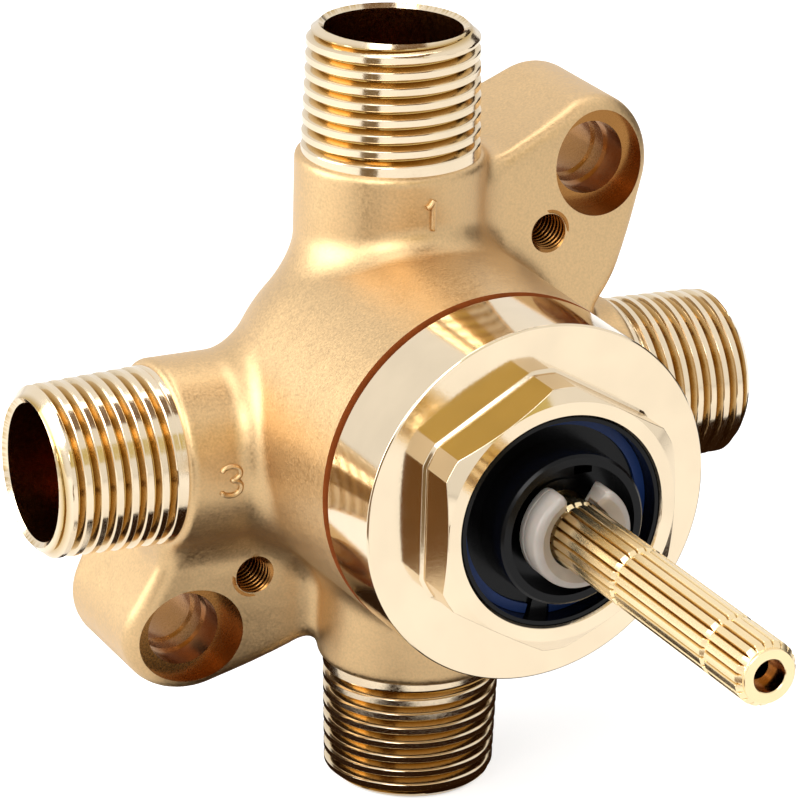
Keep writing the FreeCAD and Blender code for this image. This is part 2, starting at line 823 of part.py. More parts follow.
def make_clip():
    """The split plastic clip that snaps round the stem in front of the gland."""
    body = new_body("stem_clip")
    whole = sector(body, "Revolution", "clip_turned", [
        ("clip_back", "clip_seat + fit_gap"),
        ("clip_back", "clip_radius"),
        ("clip_front", "clip_radius"),
        ("clip_front", "clip_radius - clip_edge - slip"),
        ("clip_front - clip_dish", "clip_throat"),
        ("clip_step", "clip_throat"),
        ("clip_step", "clip_seat + fit_gap"),
    ], "360 - clip_opening", "180 + clip_middle")
    front = -value("clip_front")
    radius = value("clip_radius")

    def outer_edge(edge, middle):
        return abs(middle.y - front) < 0.01 and abs(math.hypot(middle.x, middle.z) - radius) < 0.01
    rounded(body, "clip_rounding", whole, "clip_edge", outer_edge)
    return body


def make_stop_ring():
    body = new_body("stop_ring")
    sector(body, "Revolution", "stop_ring_turned", [
        ("ring_back", "ring_inside"),
        ("ring_back", "ring_outside"),
        ("ring_front", "ring_outside"),
        ("ring_front", "ring_inside"),
    ], "360 - ring_opening", "key_angle - 180")
    return body


def make_carrier():
    """The carrier: takes the stem's tang in a slot and drives the moving disc by two pegs."""
    body = turned("disc_carrier", [
        ("carrier_back", "0"),
        ("carrier_back", "carrier_radius"),
        ("carrier_face", "carrier_radius"),
        ("carrier_face", "hub_radius"),
        ("hub_front", "hub_radius"),
        ("hub_front", "0"),
    ])
    sector(body, "Revolution", "stop_lug", [
        ("carrier_face - overrun", "stop_inside + fit_gap"),
        ("lug_front", "stop_inside + fit_gap"),
        ("lug_front", "carrier_radius"),
        ("carrier_face - overrun", "carrier_radius"),
    ], "lug_angle", "90")
    socket = new_sketch(body, "socket_outline", "XZ_Plane", {"z": "hub_front"})
    box_outline(socket, "-(tang_width/2 + fit_gap)", "tang_width/2 + fit_gap",
                "-(tang_radius + fit_gap)", "tang_radius + fit_gap")
    push(body, "Pocket", "socket", socket, "hub_front - tang_end + socket_play")
    drive = [("drive_reach", "0"), ("-drive_reach", "0")]
    pegs(body, "drive_pegs", drive, "drive_pin", "carrier_back - drive_length", "carrier_back")
    return body


def make_moving_disc():
    body = turned("moving_disc", [
        ("moving_back", "0"),
        ("moving_back", "moving_radius"),
        ("moving_front", "moving_radius"),
        ("moving_front", "0"),
    ])
    fan = new_sketch(body, "fan_outline", "XZ_Plane", {"z": "moving_front"})
    draw(fan, [
        ("-fan_inner_half", "fan_inner"),
        ("fan_inner_half", "fan_inner"),
        ("fan_outer_half", "fan_outer"),
        ("-fan_outer_half", "fan_outer"),
    ])
    push(body, "Pocket", "fan", fan, "moving_front - moving_back")
    drive = [("drive_reach", "0"), ("-drive_reach", "0")]
    drilled(body, "drive_sockets", drive, "drive_pin + fit_gap",
            "moving_front - drive_length - fit_gap", "moving_front")
    return body


def make_fixed_disc():
    body = turned("fixed_disc", [
        ("fixed_back", "0"),
        ("fixed_back", "fixed_radius"),
        ("fixed_front", "fixed_radius"),
        ("fixed_front", "0"),
    ])
    drilled(body, "disc_holes", OUTLETS, "base_hole", "fixed_back", "fixed_front")
    return body


def make_base():
    """The cartridge base: three ways through it, a seal pocket at each end of each way."""
    body = turned("cartridge_base", [
        ("base_back", "0"),
        ("base_back", "housing_radius"),
        ("base_front", "housing_radius"),
        ("base_front", "0"),
    ])
    drilled(body, "base_holes", OUTLETS, "base_hole", "base_back", "base_front")
    drilled(body, "front_pockets", OUTLETS, "seal_pocket", "base_front - seal_pocket_depth",
            "base_front")
    drilled(body, "rear_pockets", OUTLETS, "seal_pocket", "base_back",
            "base_back + seal_pocket_depth")
    spots = [("locating_x", "locating_z")]
    pegs(body, "locating_peg", spots, "locating_pin", "base_back - locating_depth", "base_back")
    return body


make_valve_body()
make_bonnet()
make_housing()
make_stem()
make_clip()
make_stop_ring()
make_carrier()
make_moving_disc()
make_fixed_disc()
make_base()
turned("thrust_washer", [
    ("collar_front + slip", "washer_bore"),
    ("collar_front + slip", "washer_radius"),
    ("collar_seat - slip", "washer_radius"),
    ("collar_seat - slip", "washer_bore"),
])
o_ring("bonnet_o_ring", "ring_slot_rear/2 + ring_slot_front/2",
       "ring_slot_radius/2 + seal_bore/2", "seal_bore/2 - ring_slot_radius/2 - slip")
o_ring("housing_o_ring", "housing_slot_rear/2 + housing_slot_front/2",
       "housing_slot_radius/2 + bonnet_bore/2", "bonnet_bore/2 - housing_slot_radius/2 - slip")
for ring_name, ring_slot in (("stem_o_ring_rear", "rear_slot"), ("stem_o_ring_front", "front_slot")):
    o_ring(ring_name, ring_slot + " + slot_width/2", "slot_radius/2 + stem_bore/2",
           "stem_bore/2 - slot_radius/2 - slip")
for count, (across, up) in enumerate(OUTLETS, start=1):
    o_ring("outlet_seal_%d" % count, "chamber_floor + seal_section + slip", "seal_middle",
           "seal_section", across, up)
    o_ring("disc_seal_%d" % count, "fixed_back - seal_section - slip", "seal_middle",
           "seal_section", across, up)
doc.recompute()

failed = [item.Name for item in doc.Objects if {"Invalid", "Error"} & set(item.State)]
if failed:
    raise RuntimeError("these did not build: " + ", ".join(failed))
pieces = [item for item in doc.Objects if item.TypeId == "PartDesign::Body"]
for piece in pieces:
    if piece.Shape.isNull() or not piece.Shape.isValid() or len(piece.Shape.Solids) != 1:
        raise RuntimeError(piece.Label + " is not one valid solid")
os.makedirs("parts", exist_ok=True)
for piece in pieces:
    piece.Shape.exportStep("parts/%s.step" % piece.Label)
    print("%-20s %10.2f mm3 %4d faces" % (piece.Label, piece.Shape.Volume, len(piece.Shape.Faces)))
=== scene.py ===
"""Looks for the concealed shower valve body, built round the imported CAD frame.

Lengths in the functions are in millimetres in the frame's own axes: the stem's axis is Y,
the stem points to -Y, and +Z is up, towards outlet 1.
"""
import math

import bmesh
import bpy
import numpy as np
from bpy.props import FloatProperty, FloatVectorProperty, IntProperty, PointerProperty
from mathutils import Matrix, Vector


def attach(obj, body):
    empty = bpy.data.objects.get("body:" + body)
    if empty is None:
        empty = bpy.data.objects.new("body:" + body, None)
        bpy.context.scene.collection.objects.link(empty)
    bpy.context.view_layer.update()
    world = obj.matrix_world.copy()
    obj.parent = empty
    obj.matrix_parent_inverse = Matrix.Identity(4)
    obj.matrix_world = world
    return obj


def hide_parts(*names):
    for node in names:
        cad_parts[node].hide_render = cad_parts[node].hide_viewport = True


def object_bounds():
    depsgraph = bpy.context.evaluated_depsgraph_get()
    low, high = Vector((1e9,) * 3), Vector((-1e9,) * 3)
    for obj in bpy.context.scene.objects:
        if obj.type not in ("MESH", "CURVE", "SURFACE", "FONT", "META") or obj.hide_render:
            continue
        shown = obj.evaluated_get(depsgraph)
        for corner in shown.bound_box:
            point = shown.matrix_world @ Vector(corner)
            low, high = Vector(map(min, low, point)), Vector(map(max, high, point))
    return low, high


bl_info = {
    "name": "Concealed shower valve body",
    "version": (1, 0, 0),
    "blender": (4, 5, 0),
    "location": "View3D > Sidebar > Valve",
    "description": "Builds the surfaces and finishes of a cast brass in-wall shower valve",
    "category": "Object",
}

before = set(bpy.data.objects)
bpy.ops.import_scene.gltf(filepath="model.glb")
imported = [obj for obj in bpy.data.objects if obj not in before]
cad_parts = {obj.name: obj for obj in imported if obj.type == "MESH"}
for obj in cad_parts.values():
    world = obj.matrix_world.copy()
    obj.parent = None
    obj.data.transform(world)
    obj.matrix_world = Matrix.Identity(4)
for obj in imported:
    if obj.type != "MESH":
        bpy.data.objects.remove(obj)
CAD_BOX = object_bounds()

MM = 0.001
TURN = 2 * math.pi


def linear(code):
    """An sRGB hex colour as linear red, green, blue and alpha."""
    channels = [int(code[i:i + 2], 16) / 255 for i in (1, 3, 5)]
    return tuple(c / 12.92 if c <= 0.04045 else ((c + 0.055) / 1.055) ** 2.4
                 for c in channels) + (1.0,)


# The side ports' axis lies below the stem's, the inlet's in front of the outlets' plane
SIDE_DROP = 3.7
INLET_FORWARD = 9.05
# Port frames: origin, the axis outwards, and two directions across it that turn right-handed
PORTS = {
    "top": ((0, 0, 0), (0, 0, 1), (1, 0, 0), (0, 1, 0)),
    "right": ((0, 0, -SIDE_DROP), (1, 0, 0), (0, 1, 0), (0, 0, 1)),
    "left": ((0, 0, -SIDE_DROP), (-1, 0, 0), (0, 1, 0), (0, 0, -1)),
    "inlet": ((0, -INLET_FORWARD, 0), (0, 0, -1), (1, 0, 0), (0, -1, 0)),
}
STEM_FRAME = ((0, 0, 0), (0, -1, 0), (1, 0, 0), (0, 0, 1))


class ValvePorts(bpy.types.PropertyGroup):
    """Sizes of the four male ports."""
    reach: FloatProperty(name="Reach", description="Stem axis to a port's mouth",
                         default=0.0465, unit="LENGTH")
    crest: FloatProperty(name="Crest radius", description="Thread crest radius at the mouth",
                         default=0.01035, unit="LENGTH")
    pitch: FloatProperty(name="Pitch", description="Distance from one thread crest to the next",
                         default=0.001905, unit="LENGTH")
    depth: FloatProperty(name="Depth", description="Depth of the thread groove",
                         default=0.00112, unit="LENGTH")
    bore: FloatProperty(name="Bore radius", description="Radius of the bore behind the mouth",
                        default=0.00832, unit="LENGTH")
    boss: FloatProperty(name="Boss radius", description="Radius of the cast boss",
                        default=0.01155, unit="LENGTH")
    boss_reach: FloatProperty(name="Boss reach", description="Stem axis to a boss's face",
                              default=0.0308, unit="LENGTH")
    columns: IntProperty(name="Columns", description="Steps round one thread", default=240)


class ValveCasting(bpy.types.PropertyGroup):
    """Sizes of the casting and its two screw ears."""
    front: FloatProperty(name="Front", description="Outlets' plane to the casting's front",
                         default=0.02813, unit="LENGTH")
    front_radius: FloatProperty(name="Front radius", description="Barrel radius at its front",
                                default=0.02176, unit="LENGTH")
    dome: FloatProperty(name="Dome radius", description="Radius of the domed back",
                        default=0.02205, unit="LENGTH")
    back: FloatProperty(name="Back", description="Outlets' plane to the flat back",
                        default=0.016, unit="LENGTH")
    blend: FloatProperty(name="Blend radius", description="Round where two cast forms meet",
                         default=0.003, unit="LENGTH")
    edge: FloatProperty(name="Edge radius", description="Round on the ears' front edges",
                        default=0.002, unit="LENGTH")
    back_edge: FloatProperty(name="Back edge radius", description="Round on the ears' back edges",
                             default=0.0008, unit="LENGTH")
    hole_reach: FloatProperty(name="Screw reach", description="Stem axis to a screw hole",
                              default=0.03795, unit="LENGTH")
    tap_reach: FloatProperty(name="Tapped reach", description="Stem axis to a tapped hole",
                             default=0.0275, unit="LENGTH")
    step: FloatProperty(name="Mesh step", description="Grid step of the cast skin",
                        default=0.00045, unit="LENGTH")


class ValveTrim(bpy.types.PropertyGroup):
    """Sizes of the bonnet, the stem and the clip."""
    flange: FloatProperty(name="Flange radius", description="Radius of the bonnet's flange",
                          default=0.02175, unit="LENGTH")
    flats: FloatProperty(name="Across flats", description="Hexagon size",
                         default=0.0292, unit="LENGTH")
    corner: FloatProperty(name="Corner radius", description="Radius the corners are turned to",
                          default=0.0161, unit="LENGTH")
    tip: FloatProperty(name="Stem tip", description="Outlets' plane to the stem's tip",
                       default=0.09195, unit="LENGTH")
    crest: FloatProperty(name="Tooth crest", description="Radius of the stem over its teeth",
                         default=0.00375, unit="LENGTH")
    root: FloatProperty(name="Tooth root", description="Radius of the stem between teeth",
                        default=0.0032, unit="LENGTH")
    teeth: IntProperty(name="Teeth", description="Teeth round the stem", default=20)
    opening: FloatProperty(name="Clip opening", description="Gap of the clip",
                           default=math.radians(55), subtype="ANGLE")


class ValveColours(bpy.types.PropertyGroup):
    """Colours of the finishes."""
    cast: FloatVectorProperty(name="Cast brass", description="Blasted cast brass",
                              subtype="COLOR", size=4, default=linear("#d2b284"))
    turned: FloatVectorProperty(name="Turned brass", description="Machined brass",
                                subtype="COLOR", size=4, default=linear("#e9d6b8"))
    # Painted shade: the darker gold of the thread grooves and the stem's valleys
    groove: FloatVectorProperty(name="Thread groove", description="Brass in the thread's grooves",
                                subtype="COLOR", size=4, default=linear("#bc9b5a"))
    # Partly painted shade: bored brass made darker because the holes lie in shade
    bored: FloatVectorProperty(name="Bored brass", description="Brass inside the ports and holes",
                               subtype="COLOR", size=4, default=linear("#9a6c3a"))
    # Painted shade: the red-brown that the chamber, the bores and the screw holes take
    film: FloatVectorProperty(name="Bore shade", description="Bored brass under dark cutting oil",
                              subtype="COLOR", size=4, default=linear("#96602f"))
    # Painted shade: the red-brown of the gap between the bonnet and the casting
    joint: FloatVectorProperty(name="Gap shade", description="Paste on the bonnet's joint",
                               subtype="COLOR", size=4, default=linear("#a05426"))
    stem: FloatVectorProperty(name="Stem brass", description="Broached stem brass",
                              subtype="COLOR", size=4, default=linear("#f7dfb0"))
    black: FloatVectorProperty(name="Black acetal", description="Moulded cartridge",
                               subtype="COLOR", size=4, default=linear("#060607"))
    blue: FloatVectorProperty(name="Blue acetal", description="Stop ring",
                              subtype="COLOR", size=4, default=linear("#1b3468"))
    clip: FloatVectorProperty(name="Clip nylon", description="Natural nylon clip",
                              subtype="COLOR", size=4, default=linear("#aaa096"))
    grey: FloatVectorProperty(name="Grey acetal", description="Carrier and washer",
                              subtype="COLOR", size=4, default=linear("#6d7074"))
    rubber: FloatVectorProperty(name="Rubber", description="Seals",
                                subtype="COLOR", size=4, default=linear("#151515"))
    ceramic: FloatVectorProperty(name="Alumina", description="Ceramic discs",
                                 subtype="COLOR", size=4, default=linear("#e9e6df"))


def sizes(group):
    """A property group's float sizes in millimetres and its whole numbers as they are."""
    found = {}
    for key, rule in group.bl_rna.properties.items():
        if rule.type == "FLOAT" and rule.unit == "LENGTH":
            found[key] = getattr(group, key) / MM
        elif rule.type in ("INT", "FLOAT"):
            found[key] = getattr(group, key)
    return found


def place(frame_of, along, radius, angle):
    """Points at a distance along a frame's axis, at a radius and an angle about it."""
    origin, axis, across, up = (np.array(part, float) for part in frame_of)
    along, radius, angle = np.broadcast_arrays(along, radius, angle)
    return (origin + along[..., None] * axis
            + (radius * np.cos(angle))[..., None] * across
            + (radius * np.sin(angle))[..., None] * up)


def grid_faces(rows, columns, wrap_rows, wrap_columns):
    """Quads of a grid of points whose index is row * columns + column."""
    row = np.arange(rows if wrap_rows else rows - 1)[:, None]
    column = np.arange(columns if wrap_columns else columns - 1)[None, :]
    after = (row + 1) % rows
    beside = (column + 1) % columns
    corners = [row * columns + column, row * columns + beside,
               after * columns + beside, after * columns + column]
    return np.stack(np.broadcast_arrays(*corners), -1).reshape(-1, 4)


def new_mesh(name, points, faces):
    """A mesh from an array of points in millimetres and an array of faces."""
    mesh = bpy.data.meshes.new(name)
    mesh.from_pydata((np.asarray(points).reshape(-1, 3) * MM).tolist(), [], faces.tolist())
    mesh.update()
    mesh.validate()
    return mesh


def new_object(name, data):
    """An object of some data, linked into the scene."""
    piece = bpy.data.objects.new(name, data)
    bpy.context.scene.collection.objects.link(piece)
    return piece


def new_piece(name, mesh, body, material, sharp=35.0):
    """An object of a mesh that rides on a body and takes a finish."""
    piece = new_object(name, mesh)
    mesh.polygons.foreach_set("use_smooth", np.ones(len(mesh.polygons), bool))
    mesh.set_sharp_from_angle(angle=math.radians(sharp))
    if not mesh.materials:
        mesh.materials.append(material)
    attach(piece, body)
    return piece


def bevel(piece, width):
    """A small round on a piece's crisp edges."""
    modifier = piece.modifiers.new("edge_round", "BEVEL")
    modifier.width = width * MM
    modifier.segments = 2
    modifier.limit_method = "ANGLE"
    modifier.angle_limit = math.radians(40)
    modifier.harden_normals = True


def pole_fans(rows, columns):
    """Triangles that close a tube's two ends with the two poles stored after its points."""
    here = np.arange(columns)
    beside = (here + 1) % columns
    last = (rows - 1) * columns
    start = np.full(columns, rows * columns)
    return np.vstack([np.stack([start, beside, here], -1),
                      np.stack([start + 1, last + here, last + beside], -1)]).tolist()


def solid_lathe(profile, frame_of, columns):
    """A profile that starts and ends on the axis, turned once, its poles closed by fans."""
    loop = np.array(profile, float)
    angle = np.arange(columns) / columns * TURN
    points = place(frame_of, loop[:, :1], loop[:, 1:], angle[None, :])
    inner = points[1:-1].reshape(-1, 3)
    poles = np.stack([points[0, 0], points[-1, 0]])
    rows = len(loop) - 2
    sides = grid_faces(rows, columns, False, True)
    return np.vstack([inner, poles]), sides.tolist() + pole_fans(rows, columns)


def add_node(tree, kind, settings=None, links=None):
    """A node with its settings, given by property or socket name, and its links."""
    node = tree.nodes.new(kind)
    for key, setting in (settings or {}).items():
        if isinstance(key, str) and hasattr(node, key):
            setattr(node, key, setting)
        else:
            node.inputs[key].default_value = setting
    for key, (source, socket) in (links or {}).items():
        tree.links.new(source.outputs[socket], node.inputs[key])
    return node


def empty_tree(block):
    """The node tree of a material or a world, with nothing in it."""
    block.use_nodes = True
    block.node_tree.nodes.clear()
    return block.node_tree


def shade(colour, share):
    """A colour made darker or lighter by a share."""
    return tuple(min(1.0, c * share) for c in colour[:3]) + (1.0,)


BRASS = {"Metallic": 1.0}
PLASTIC = {"IOR": 1.48, "Specular IOR Level": 0.2}
FINISHES = {
    # Sand-cast brass, shot-blasted: a satin grain over slow swells of the cast skin. The
    # grain is drawn 0.3 mm wide, coarser than the real 0.1 mm, so that it shows.
    "blasted_cast_brass": {"tone": "cast", "base": BRASS, "grain": 0.3, "cloud": 0.3,
                           "drift": (0.88, 1.08), "rough": (0.36, 0.5), "bump": (0.3, 0.05),
                           "swell": (5.0, 0.5, 0.25)},
    # Brass turned on a lathe: bright and smooth, with small uneven tool lines
    "lathe_turned_brass": {"tone": "turned", "base": BRASS, "grain": 0.25, "cloud": 6.0,
                           "drift": (0.96, 1.03), "rough": (0.07, 0.12), "bump": (0.08, 0.02)},
    # Brass threaded with a die: bright crests, and grooves darkened to a deeper gold by painted
    # shade
    "threaded_brass": {"tone": "turned", "base": BRASS, "grain": 0.3, "cloud": 6.0,
                       "drift": (0.95, 1.03), "rough": (0.1, 0.18), "bump": (0.12, 0.02),
                       "groove": "groove"},
    # Brass bored or drilled: rougher tool lines than turned brass, and a colour darkened by painted
    # shade inside the holes
    "bored_brass": {"tone": "bored", "base": BRASS, "grain": 0.3, "cloud": 6.0,
                    "drift": (0.92, 1.05), "rough": (0.2, 0.32), "bump": (0.3, 0.02)},
    # Painted shade in the chamber, the bores and the screw holes: brass given a deep red-brown,
    # half gloss
    "oiled_bored_brass": {"tone": "film", "base": BRASS, "grain": 0.4, "cloud": 2.0,
                          "drift": (0.85, 1.1), "rough": (0.15, 0.24), "bump": (0.2, 0.02)},
    # Painted shade and reflection in the gap between the bonnet's flange and the casting: a dull
    # red-brown
    "dried_jointing_compound": {"tone": "joint", "base": PLASTIC, "grain": 0.3, "cloud": 2.0,
                                "drift": (0.85, 1.1), "rough": (0.4, 0.5),
                                "bump": (0.2, 0.03)},
    # Brass broached into fine teeth: clean cream lands, with painted shade darkening the lines
    # between them
    "broached_brass": {"tone": "stem", "base": BRASS, "grain": 0.35, "cloud": 5.0,
                       "drift": (0.95, 1.03), "rough": (0.2, 0.25), "bump": (0.03, 0.02),
                       "groove": "groove"},
    # Moulded acetal, black: a deep even black with a soft gloss
    "moulded_black_acetal": {"tone": "black", "base": PLASTIC, "grain": 0.2, "cloud": 3.0,
                             "drift": (0.92, 1.08), "rough": (0.2, 0.26), "bump": (0.05, 0.02)},
    # Moulded acetal, dyed blue: a little duller than the black
    "moulded_blue_acetal": {"tone": "blue", "base": PLASTIC, "grain": 0.3, "cloud": 3.0,
                            "drift": (0.92, 1.08), "rough": (0.3, 0.4), "bump": (0.12, 0.03)},
    # Natural nylon: an off-white, waxy plastic that lets a little light in
    "natural_nylon": {"tone": "clip", "base": {"IOR": 1.53, "Subsurface Weight": 0.15,
                                               "Subsurface Scale": 0.001},
                      "grain": 0.4, "cloud": 3.0, "drift": (0.94, 1.05),
                      "rough": (0.33, 0.43), "bump": (0.2, 0.03)},
    # Moulded acetal, grey
    "grey_acetal": {"tone": "grey", "base": PLASTIC, "grain": 0.3, "cloud": 3.0,
                    "drift": (0.94, 1.06), "rough": (0.35, 0.45), "bump": (0.15, 0.03)},
    # Nitrile rubber, moulded: black and dull
    "nitrile_rubber": {"tone": "rubber", "base": PLASTIC, "grain": 0.2, "cloud": 3.0,
                       "drift": (0.92, 1.08), "rough": (0.45, 0.55), "bump": (0.3, 0.03)},
    # Lapped alumina: a hard, nearly white ceramic ground to a mirror
    "lapped_alumina": {"tone": "ceramic", "base": {"IOR": 1.76}, "grain": 0.2, "cloud": 3.0,
                       "drift": (0.98, 1.02), "rough": (0.08, 0.14), "bump": (0.05, 0.02)},
}


def finish_of(name):
    """The material of a name, made once.

    Its colour drifts between two tones of one colour by slow noise, its roughness and
    fine relief follow noise of the grain's size, and a groove attribute darkens it as painted
    shade.
    """
    made = bpy.data.materials.get(name)
    if made:
        return made
    plan = FINISHES[name]
    colours = bpy.context.scene.valve_colours
    tone = getattr(colours, plan["tone"])
    material = bpy.data.materials.new(name)
    tree = empty_tree(material)
    shader = add_node(tree, "ShaderNodeBsdfPrincipled", plan["base"])
    add_node(tree, "ShaderNodeOutputMaterial", {}, {"Surface": (shader, "BSDF")})
    spot = add_node(tree, "ShaderNodeTexCoord")
    grain, cloud = (
        add_node(tree, "ShaderNodeTexNoise", {"Scale": 1 / (size * MM), "Detail": 2.0},
                 {"Vector": (spot, "Object")}) for size in (plan["grain"], plan["cloud"]))
    drift, rough = (
        add_node(tree, "ShaderNodeMapRange", {
            "From Min": 0.3, "From Max": 0.7, "To Min": low, "To Max": high,
        }, {"Value": (source, "Fac")})
        for source, (low, high) in ((cloud, (0.0, 1.0)), (grain, plan["rough"])))
    low, high = plan["drift"]
    colour = add_node(tree, "ShaderNodeMix", {
        "data_type": "RGBA", 6: shade(tone, low), 7: shade(tone, high),
    }, {0: (drift, "Result")})
    # Painted shade: grooves and valleys take the darker groove colour
    if "groove" in plan:
        depth = add_node(tree, "ShaderNodeAttribute", {"attribute_name": "groove"})
        colour = add_node(tree, "ShaderNodeMix", {
            "data_type": "RGBA", 7: tuple(getattr(colours, plan["groove"])),
        }, {0: (depth, "Fac"), 6: (colour, 2)})
    strength, distance = plan["bump"]
    relief = add_node(tree, "ShaderNodeBump", {"Strength": strength, "Distance": distance * MM},
                      {"Height": (grain, "Fac")})
    if "swell" in plan:
        size, strength, distance = plan["swell"]
        broad = add_node(tree, "ShaderNodeTexNoise", {"Scale": 1 / (size * MM), "Detail": 2.0},
                         {"Vector": (spot, "Object")})
        relief = add_node(tree, "ShaderNodeBump", {
            "Strength": strength, "Distance": distance * MM,
        }, {"Height": (broad, "Fac"), "Normal": (relief, "Normal")})
    tree.links.new(colour.outputs[2], shader.inputs["Base Color"])
    tree.links.new(rough.outputs["Result"], shader.inputs["Roughness"])
    tree.links.new(relief.outputs["Normal"], shader.inputs["Normal"])
    return material


def mark_grooves(mesh, share):
    """Store on each point how deep in a groove it lies, from 0 on a crest to 1 on a floor."""
    held = mesh.attributes.new("groove", "FLOAT", "POINT")
    held.data.foreach_set("value", np.asarray(share, np.float32).ravel())


def join_round(first, second, radius):
    """The union of two distances with a round fillet where they meet."""
    u = np.maximum(radius - first, 0)
    v = np.maximum(radius - second, 0)
    return np.maximum(radius, np.minimum(first, second)) - np.hypot(u, v)


def meet_round(first, second, radius):
    """The common part of two distances with a rounded edge where they meet."""
    return -join_round(-first, -second, radius)


def ear_distance(x, y, z, sign, cast):
    """The distance to one ear: a round end, flared sides, a sloped face and a flat back.

    The outline is worked out in (u, v), u out along the diagonal and v across it.
    """
    end, flare, shoulder, width, rib = 7.85, math.radians(22), 26.0, 13.29, 9.0
    face, slope_from, fall = 5.16, 31.5, 0.268
    u = sign * (x + z) / math.sqrt(2)
    v = np.abs(z - x) / math.sqrt(2)
    reach = u - cast["hole_reach"]
    side = reach * math.sin(flare) + v * math.cos(flare) - end
    beyond = reach * math.cos(flare) - v * math.sin(flare) > 0
    outline = np.where(beyond, np.hypot(reach, v) - end, side)
    drop = width - rib
    root = ((v - width) * shoulder - (u - shoulder) * drop) / math.hypot(shoulder, drop)
    outline = meet_round(outline, root, 3.0)
    flat = -face - y
    sloped = (-face + fall * (u - slope_from) - y) / math.hypot(1, fall)
    front = meet_round(flat, sloped, 2.5)
    solid = meet_round(outline, front, cast["edge"])
    solid = meet_round(solid, y - cast["back"], cast["back_edge"])
    return np.maximum(solid, -u)


def cast_distance(x, y, z, cast, ports):
    """The distance to the casting's skin: barrel, dome, four bosses and two ears, blended."""
    centre, front_over = 5.0, 1.2
    radius = np.hypot(x, z)
    taper = (cast["dome"] - cast["front_radius"]) / (cast["front"] - centre)
    straight = radius - cast["dome"] - (y + centre) * taper
    domed = np.hypot(radius, y + centre) - cast["dome"]
    body = np.where(y < -centre, straight, domed)
    body = meet_round(body, y - cast["back"], 1.5)
    for sign in (1, -1):
        body = join_round(body, ear_distance(x, y, z, sign, cast), cast["blend"])
    for origin, axis, across, up in PORTS.values():
        offset = [p - o for p, o in zip((x, y, z), origin)]
        along = sum(o * a for o, a in zip(offset, axis))
        first = sum(o * a for o, a in zip(offset, across))
        second = sum(o * a for o, a in zip(offset, up))
        boss = np.hypot(first, second) - ports["boss"]
        boss = meet_round(boss, along - ports["boss_reach"], 0.9)
        body = join_round(body, np.maximum(boss, -along), cast["blend"])
    body = np.maximum(body, y - cast["back"])
    return np.maximum(body, -cast["front"] - front_over - y)


def skin(field, low, step):
    """Surface nets over a block of distances.

    Each cell that the surface crosses gets one point, the mean of the crossings on its
    edges, and each grid edge that it crosses gets one quad between the four cells round it.
    """
    inside = field < 0
    shape = np.array(field.shape) - 1
    corners = np.array([(i, j, k) for i in (0, 1) for j in (0, 1) for k in (0, 1)])

    def part(block, corner):
        return block[tuple(slice(c, c + n) for c, n in zip(corner, shape))]
    count = sum(part(inside, corner).astype(np.int8) for corner in corners)
    active = (count > 0) & (count < 8)
    cells = np.argwhere(active)
    values = np.stack([part(field, corner)[active] for corner in corners], 1)
    total = np.zeros((len(cells), 3))
    hits = np.zeros(len(cells))
    for i in range(8):
        for j in range(i + 1, 8):
            if np.abs(corners[i] - corners[j]).sum() != 1:
                continue
            crossed = (values[:, i] < 0) != (values[:, j] < 0)
            gap = np.where(crossed, values[:, i] - values[:, j], 1.0)
            share = np.where(crossed, values[:, i] / gap, 0.0)
            point = corners[i] + share[:, None] * (corners[j] - corners[i])
            total += np.where(crossed[:, None], point, 0.0)
            hits += crossed
    points = low + step * (cells + total / hits[:, None])
    index = np.full(shape, -1, np.int64)
    index[active] = np.arange(len(cells))
    quads = []
    for axis in range(3):
        u, v = (axis + 1) % 3, (axis + 2) % 3
        near = [slice(None)] * 3
        near[axis] = slice(0, shape[axis])
        near[u] = slice(1, shape[u])
        near[v] = slice(1, shape[v])
        far = list(near)
        far[axis] = slice(1, shape[axis] + 1)
        start, end = inside[tuple(near)], inside[tuple(far)]

        def cell(du, dv):
            spot = [slice(0, shape[axis])] * 3
            spot[u] = slice(1 - du, shape[u] - du)
            spot[v] = slice(1 - dv, shape[v] - dv)
            return index[tuple(spot)]
        ring = [cell(1, 1), cell(0, 1), cell(0, 0), cell(1, 0)]
        for keep, order in ((start & ~end, ring), (~start & end, ring[::-1])):
            quads.append(np.stack([block[keep] for block in order], -1))
    return points, np.vstack(quads)


def settle(points, distance, passes=3):
    """Points moved along the distance's gradient onto the surface itself."""
    reach = 0.03
    for _ in range(passes):
        x, y, z = points.T
        here = distance(x, y, z)
        slope = np.stack([
            distance(x + reach, y, z) - distance(x - reach, y, z),
            distance(x, y + reach, z) - distance(x, y - reach, z),
            distance(x, y, z + reach) - distance(x, y, z - reach),
        ], -1) / (2 * reach)
        size = np.maximum((slope ** 2).sum(-1), 0.25)
        points = points - (here / size)[:, None] * slope
    return points


def cutter(name, profile, frame_of, columns, *finishes, rows=None):
    """A solid of revolution that a boolean takes out of the casting.

    Rows gives each step of the profile the number of its finish.
    """
    points, faces = solid_lathe(profile, frame_of, columns)
    mesh = bpy.data.meshes.new(name)
    mesh.from_pydata((points * MM).tolist(), [], faces)
    for finish in finishes:
        mesh.materials.append(finish)
    if rows:
        index = np.repeat(np.array(rows + [0, 0]), columns)
        mesh.polygons.foreach_set("material_index", index)
    return new_object(name, mesh)


def cut_away(piece, tools):
    """Take each tool out of a piece in turn, keep the tools' finish, and drop the tools."""
    for tool in tools:
        modifier = piece.modifiers.new(tool.name, "BOOLEAN")
        modifier.operation = "DIFFERENCE"
        modifier.solver = "MANIFOLD"
        modifier.object = tool
        modifier.material_mode = "TRANSFER"
    bpy.context.view_layer.update()
    seen = piece.evaluated_get(bpy.context.evaluated_depsgraph_get())
    mesh = bpy.data.meshes.new_from_object(seen)
    piece.modifiers.clear()
    piece.data = mesh
    for tool in tools:
        bpy.data.objects.remove(tool)
    return mesh


def ear_frames(reach):
    """Frames of the two ears' holes at a reach: their axes point to the front."""
    side = reach / math.sqrt(2)
    return [((sign * side, 0, sign * side),) + STEM_FRAME[1:] for sign in (1, -1)]


